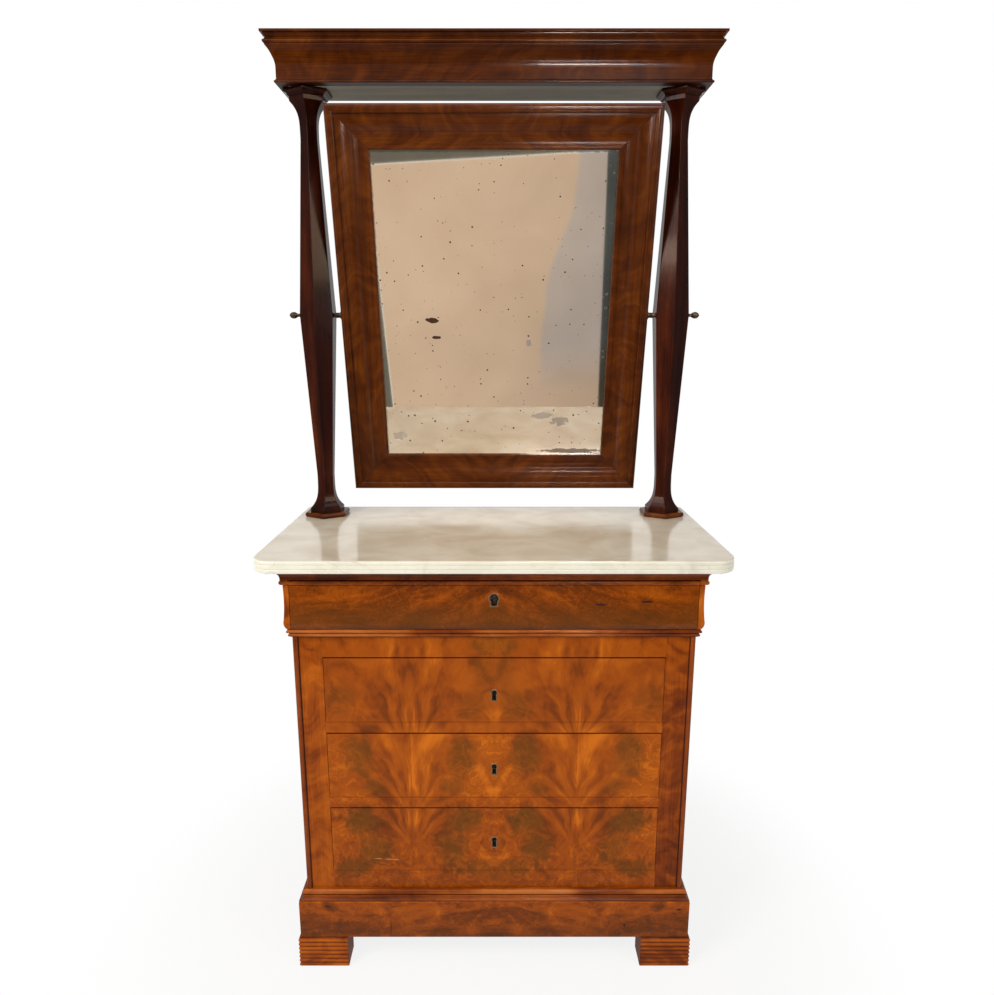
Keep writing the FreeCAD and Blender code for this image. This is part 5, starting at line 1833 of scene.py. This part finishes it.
@dataclass(frozen=True)
class TiltingMirror:
    """The mirror frame in four mitred members, and the silvered plate behind them.

    Attributes:
        width, height: the frame over its outer edges.
        member: how wide a member is.
        depth: how deep it is.
        rebate_width, rebate_depth: the step that the glass lies in.
        pivot_below_middle: how far the pivot lies under the frame's middle.
        ease: how far the section's corners are rounded.
        stations: how many evenly spaced rings a member has.
        shares: a member's face from its sight edge outwards.
    """

    width: float = 705 * MM
    height: float = 865 * MM
    member: float = 87 * MM
    depth: float = 36 * MM
    rebate_width: float = 8 * MM
    rebate_depth: float = 14 * MM
    pivot_below_middle: float = 1 * MM
    ease: float = 0.5 * MM
    stations: int = 20
    shares: Corners = ((0.0, 0.5), (0.05, 0.56, 0.15), (0.4, 0.63, -0.07), (0.74, 0.86, 0.06),
                       (0.79, 0.86), (0.79, 0.93), (0.84, 0.985, 0.15), (0.95, 0.97, 0.08),
                       (1.0, 0.8, 0.15))

    @staticmethod
    def pivot() -> np.ndarray:
        """The tilt joint's place."""
        joint = next(item for item in frame["joints"] if item["name"] == "mirror_tilt")
        return np.array(joint["pos_m"])

    def section(self) -> Section:
        """A member's section, drawn clockwise from its sight edge and then turned round.

        Returns:
            The sampled section.
        """
        face = [(share[0] * self.member, share[1] * self.depth, *(-swell for swell in share[2:]))
                for share in self.shares]
        outline = drawn([(self.rebate_width, 0.0), (self.rebate_width, self.rebate_depth),
                         (0.0, self.rebate_depth), *face, (self.member, 0.0)])
        return eased(outline[::-1], self.ease)

    def build(self) -> None:
        """Makes the four members upright about the pivot, and leans them forward."""
        section = self.section()
        half, back = self.width / 2, self.depth / 2
        top = self.height / 2 + self.pivot_below_middle
        foot = self.height / 2 - self.pivot_below_middle
        sight_side, sight_top, sight_foot = (edge - self.member for edge in (half, top, foot))

        def member(start: Sequence[float], along: Sequence[float], outward: Sequence[float],
                   length: float) -> Shell:
            """One member, mitred at both ends, with its face to the front."""
            return carried(section, start, along, outward, (0, -1, 0), length, (1.0, 1.0),
                           self.stations)

        rails = joined(
            member((-sight_side, back, sight_top), (1, 0, 0), (0, 0, 1), 2 * sight_side),
            member((-sight_side, back, -sight_foot), (1, 0, 0), (0, 0, -1), 2 * sight_side))
        stile = member((sight_side, back, -sight_foot), (0, 0, 1), (1, 0, 0),
                       sight_top + sight_foot)
        pivot = self.pivot()
        for name, shell, grain in (("rails", rails, Grain.MIRROR_X),
                                   ("stiles", joined(stile, stile.mirrored()), Grain.MIRROR_Z)):
            add_piece(f"mirror_frame_{name}", shell.leant(TILT, pivot),
                      Wood.FRAME_MAHOGANY.along(grain), "mirror",
                      [f"mirror_{name}"])
        dress(AgedSilvering("aged_silvering", tuple(pivot)), "mirror_glass")
        dress(Wood.BARE_PINE.along(Grain.MIRROR_Z), "mirror_backboard")


@dataclass(frozen=True)
class Pivots:
    """Two bolts with olive knobs, and the bushes that they turn in.

    Attributes:
        radius, collar, knob: the radii of the bolt, its collar and its olive.
        olive_length, neck_length, collar_length: how long the parts outside the column are.
        taper_length: how far the neck narrows before the olive.
        lip: how far edges are cut back.
        sides: how many sides a turned part has.
        olive: its profile, as shares of its length from the neck and of its radius.
    """

    radius: float = 4 * MM
    collar: float = 7 * MM
    knob: float = 7.5 * MM
    olive_length: float = 18.5 * MM
    neck_length: float = 7.5 * MM
    collar_length: float = 2.5 * MM
    taper_length: float = 2.4 * MM
    lip: float = 0.4 * MM
    sides: int = 48
    olive: Corners = ((0.0, 0.53), (0.06, 0.62), (0.16, 0.8), (0.3, 0.95), (0.45, 1.0),
                      (0.6, 0.97), (0.74, 0.86), (0.86, 0.66), (0.94, 0.42), (1.0, 0.14))

    def profile(self, inner: float, outer: float) -> np.ndarray:
        """The bolt's (place along it, radius) points, between its inner and outer ends.

        Args:
            inner, outer: the places of the bolt's two ends.

        Returns:
            An array with one (place, radius) row for each ring.
        """
        lip = self.lip
        knob_foot = outer - self.olive_length
        collar_top = knob_foot - self.neck_length
        collar_foot = collar_top - self.collar_length
        olive = [(knob_foot + share * (outer - knob_foot), size * self.knob)
                 for share, size in self.olive]
        return np.array([
            (inner, self.radius - lip), (inner + lip, self.radius), (collar_foot, self.radius),
            (collar_foot, self.collar - lip), (collar_foot + lip, self.collar),
            (collar_top - lip, self.collar), (collar_top, self.collar - lip),
            (collar_top, self.radius), (knob_foot - self.taper_length, self.radius * 0.86),
            *olive])

    def build(self) -> None:
        """Turns each bolt round its own axis; the collar's rim is rubbed bright."""
        low, high = corners_of("right_pivot_bolt")
        place, radius = self.profile(low[0], high[0])[:, :, None].transpose(1, 0, 2)
        centre = (low + high) / 2
        angle = np.linspace(0, 2 * math.pi, self.sides, endpoint=False)
        rings = np.stack(np.broadcast_arrays(place, centre[1] + radius * np.cos(angle),
                                             centre[2] + radius * np.sin(angle)), axis=-1)
        marks = np.zeros((len(rings), 1))
        marks[4:6] = 1.0
        bolt = loft(rings, marks)
        for side, shell in (("right", bolt), ("left", bolt.mirrored())):
            add_piece(f"{side}_olive_bolt", shell, BRONZE, f"{side}_pivot_bolt",
                      [f"{side}_pivot_bolt"])
        dress(BRONZE, "pivot_bushes")


# The studio: floor, light and camera


@dataclass(frozen=True)
class Lamp:
    """A soft rectangular lamp that faces a point.

    Attributes:
        name: its name.
        place, aim: where it stands, and the point that it faces.
        size: its width and height.
        power: its watts.
        colour: its colour.
    """

    name: str
    place: tuple[float, float, float]
    aim: tuple[float, float, float]
    size: tuple[float, float]
    power: float
    colour: Colour

    def build(self) -> None:
        """Adds the lamp to the scene."""
        light = bpy.data.lights.new(self.name, "AREA")
        light.shape = "RECTANGLE"
        light.size, light.size_y = self.size
        light.energy = self.power
        light.color = self.colour
        lamp = bpy.data.objects.new(self.name, light)
        lamp.location = self.place
        away = np.array(self.place) - np.array(self.aim)
        flat = math.hypot(away[0], away[1])
        lamp.rotation_euler = (math.atan2(flat, away[2]), 0.0, math.atan2(away[0], -away[1]))
        bpy.context.scene.collection.objects.link(lamp)


def between(x: Sequence[float], low: Sequence[float], high: Sequence[float]) -> Corners:
    """A card's corners between two x, from a low to a high (y, z) place."""
    return ((x[0], *low), (x[1], *low), (x[1], *high), (x[0], *high))


@dataclass(frozen=True)
class Card:
    """A glowing card that only mirror and polish reflect; no lamp and no camera ray meets it.

    Attributes:
        name: its name.
        corners: its corners, in order.
        right, left: its screen colours on the right and on the left.
        strength: how strongly it glows, where 1 is as it is coloured.
        glow: where along X it starts, is full, begins to fade and ends, if its ends are soft.
    """

    name: str
    corners: Corners
    right: tuple[int, int, int] = (255, 246, 236)
    left: tuple[int, int, int] = (255, 246, 236)
    strength: float = 1.0
    glow: Optional[tuple[float, float, float, float]] = None

    def build(self) -> None:
        """Hangs the card; its right side goes grey above the floor, as a wall in shade does."""
        mesh = bpy.data.meshes.new(self.name)
        mesh.from_pydata(self.corners, [], [[0, 1, 2, 3]])
        card = bpy.data.objects.new(self.name, mesh)
        bpy.context.scene.collection.objects.link(card)
        recipe = Recipe.named(f"{self.name}_paint")
        x, _, z = recipe.split(recipe.place())
        drift = recipe.noise((x * 1.4, 0.0, z * 1.4), 2)
        border = 0.43 - z.fall(0.45, 1.15) * 0.15 + (drift - 0.5) * 0.1
        right_side_shade = (x - border).rise(-0.02, 0.02) * z.rise(-0.2, 0.2)
        share = (0.72 - x * 0.6 + (drift - 0.5) * 0.9 + (z - 0.6) * 0.3).rise(0.0, 1.0)
        paint = recipe.blend(share, srgb(*self.right), srgb(*self.left))
        paint = recipe.blend(right_side_shade, paint, (0.80, 0.93, 1.15), "MULTIPLY")
        if self.glow:
            start, full, fade, end = self.glow
            paint = recipe.blend(x.rise(start, full) * x.fall(fade, end), (0.0, 0.0, 0.0), paint)
        shader = recipe.node("Emission", {}, {"Color": paint, "Strength": self.strength})
        mesh.materials.append(recipe.close(shader))
        for kind in ("camera", "diffuse", "transmission", "volume_scatter", "shadow"):
            setattr(card, f"visible_{kind}", False)


@dataclass(frozen=True)
class Studio:
    """A pale floor, a white surround, soft lamps, cards for the reflections, and the camera.

    Attributes:
        lamps: the lamps.
        cards: a warm card and a dim drape for the mirror, and bright strips for the polish.
        floor_radius, floor_sides: how far the floor reaches, and how many sides it has.
        ambient: how strongly the surround lights the chest.
        focal_pixels, picture_pixels: the focal length and the picture's longer side, in pixels.
        camera_place, camera_pitch: where the camera stands, and how far it looks down.
    """

    lamps: tuple[Lamp, ...] = (
        Lamp("key_softbox", (-2.0, -1.9, 2.9), (-0.1, 0.0, 0.8), (1.3, 1.3), 84.0,
             (1.0, 0.97, 0.93)),
        Lamp("side_softbox", (1.9, -1.7, 2.0), (0.1, 0.0, 1.3), (0.25, 1.2), 14.0,
             (1.0, 0.95, 0.88)),
        Lamp("strip_lamp", (0.49, -1.9, 2.38), (0.3, 0.0, 1.95), (0.63, 0.28), 4.0,
             (1.0, 0.98, 0.95)),
        Lamp("low_fill", (-0.5, -3.2, 0.8), (0.0, 0.0, 0.6), (2.4, 0.8), 9.0,
             (1.0, 0.96, 0.9)))
    cards: tuple[Card, ...] = (
        Card("studio_card", ((-0.670, -2.35, 1.19), (0.578, -2.35, 1.258), (0.665, -2.35, -0.6),
                             (-0.643, -2.35, -0.6)), (190, 170, 150), (219, 195, 170)),
        Card("studio_drape", between((-1.5, 1.5), (-2.42, 1.9), (-2.42, -0.6)),
             (62, 62, 56), (112, 110, 100)),
        Card("studio_card_side_edge", ((-0.677, -2.34, 1.19), (-0.669, -2.34, 1.19),
                                       (-0.642, -2.34, -0.6), (-0.650, -2.34, -0.6)),
             (238, 232, 220), (240, 236, 226)),
        Card("studio_card_top_edge", ((-0.670, -2.34, 1.197), (0.578, -2.34, 1.265),
                                      (0.578, -2.34, 1.258), (-0.670, -2.34, 1.19)),
             (238, 232, 220), (240, 236, 226)),
        Card("studio_cornice_strip", between((0.11, 0.66), (-0.8, 1.965), (-0.8, 2.02)),
             strength=190.0, glow=(0.11, 0.16, 0.26, 0.6)),
        Card("studio_frame_strip", between((0.12, 0.76), (-2.3, 1.43), (-2.3, 1.50)),
             strength=125.0, glow=(0.13, 0.3, 0.48, 0.75)),
        Card("studio_overhead_strip", between((-1.6, 1.6), (-1.0, 2.8), (-0.4, 2.95)),
             strength=8.0),
        Card("studio_right_flank", ((1.9, -1.7, 1.8), (1.9, -2.3, 1.8), (1.9, -2.3, 3.0),
                                    (1.9, -1.7, 3.0)), (255, 206, 150), (255, 226, 206), 24.0),
        Card("studio_left_flank", ((-1.9, -1.7, 1.92), (-1.9, -2.3, 1.92), (-1.9, -2.3, 2.12),
                                   (-1.9, -1.7, 2.12)), (255, 206, 150), (255, 226, 206), 60.0))
    floor_radius: float = 1.9
    floor_sides: int = 96
    ambient: float = 0.42
    focal_pixels: float = 741.0
    picture_pixels: float = 995.0
    camera_place: tuple[float, float, float] = (0.006, -1.622, 1.375)
    camera_pitch: float = math.radians(11.98)

    def build(self) -> None:
        """Sets up everything round the chest."""
        for light in (*self.lamps, *self.cards):
            light.build()
        self._surround()
        self._floor()
        self._camera()
        bpy.context.scene.view_settings.view_transform = "Standard"

    @staticmethod
    def _seen(recipe: Recipe) -> Value:
        """1 for a ray from the camera or one that a mirror or glass sends on."""
        path = recipe.node("LightPath", {}, {})
        return largest([path, path.twin("Is Glossy Ray"), path.twin("Is Transmission Ray")])

    def _surround(self) -> None:
        """A surround that the camera sees as white and that lights the chest at a lower level."""
        world = bpy.data.worlds.new("surround")
        bpy.context.scene.world = world
        recipe = Recipe(world)
        ambient = (self.ambient, self.ambient, self.ambient * 0.99)
        colour = recipe.blend(self._seen(recipe), ambient, (1.0, 1.0, 1.0))
        shader = recipe.node("Background", {}, {"Color": colour, "Strength": 1.0})
        recipe.close(shader, "OutputWorld")

    def _floor(self) -> None:
        """A pale round floor that keeps a soft shadow."""
        angle = np.linspace(0, 2 * math.pi, self.floor_sides, endpoint=False)
        rim = self.floor_radius * np.stack([np.cos(angle), np.sin(angle), 0 * angle], axis=1)
        mesh = bpy.data.meshes.new("studio_floor")
        mesh.from_pydata(rim.tolist(), [], [list(range(self.floor_sides))])
        floor = bpy.data.objects.new("studio_floor", mesh)
        bpy.context.scene.collection.objects.link(floor)
        recipe = Recipe.named("studio_floor_paint")
        x, y, _ = recipe.split(recipe.place())
        grain = recipe.noise((x * 30, y * 30, 0.0), 3)
        paint = recipe.ramp(grain, ((0.3, (0.8, 0.79, 0.78)), (0.7, (0.84, 0.83, 0.82))))
        matt = recipe.node("BsdfDiffuse", {}, {"Color": paint})
        white = recipe.node("Emission", {}, {"Color": (1.0, 1.0, 1.0), "Strength": 1.0})
        away = (x * x + y * y).rise(0.25, 1.0)
        share = self._seen(recipe) * (0.84 + away * 0.16)
        mix = recipe.node("MixShader", {}, {0: share, 1: matt, 2: white})
        mesh.materials.append(recipe.close(mix))

    def _camera(self) -> None:
        """The camera, level from side to side and a little above the pivots' height."""
        lens = bpy.data.cameras.new("camera")
        lens.sensor_fit = "AUTO"
        lens.sensor_width = 36.0
        lens.lens = self.focal_pixels / self.picture_pixels * lens.sensor_width
        camera = bpy.data.objects.new("camera", lens)
        camera.location = self.camera_place
        camera.rotation_euler = (math.pi / 2 - self.camera_pitch, 0.0, 0.0)
        bpy.context.scene.collection.objects.link(camera)
        bpy.context.scene.camera = camera


def main() -> None:
    """Builds the chest from the floor upwards, then the studio round it."""
    logging.basicConfig(level=logging.INFO, format="%(message)s")
    case = Case.from_frame()
    drawers = [Drawer(f"{place}_drawer", KeyholeSize.SMALL)
               for place in ("lower", "middle", "upper")]
    builders = [ReededFeet(), CaseMouldings(case), Carcass(), *drawers,
                FriezeDrawer("frieze_drawer", KeyholeSize.WIDE), FriezeEnds(case),
                MarbleSlab(), Columns(), Cornice(), TiltingMirror(), Pivots(), Studio()]
    for builder in builders:
        builder.build()


if __name__ == "__main__":
    main()
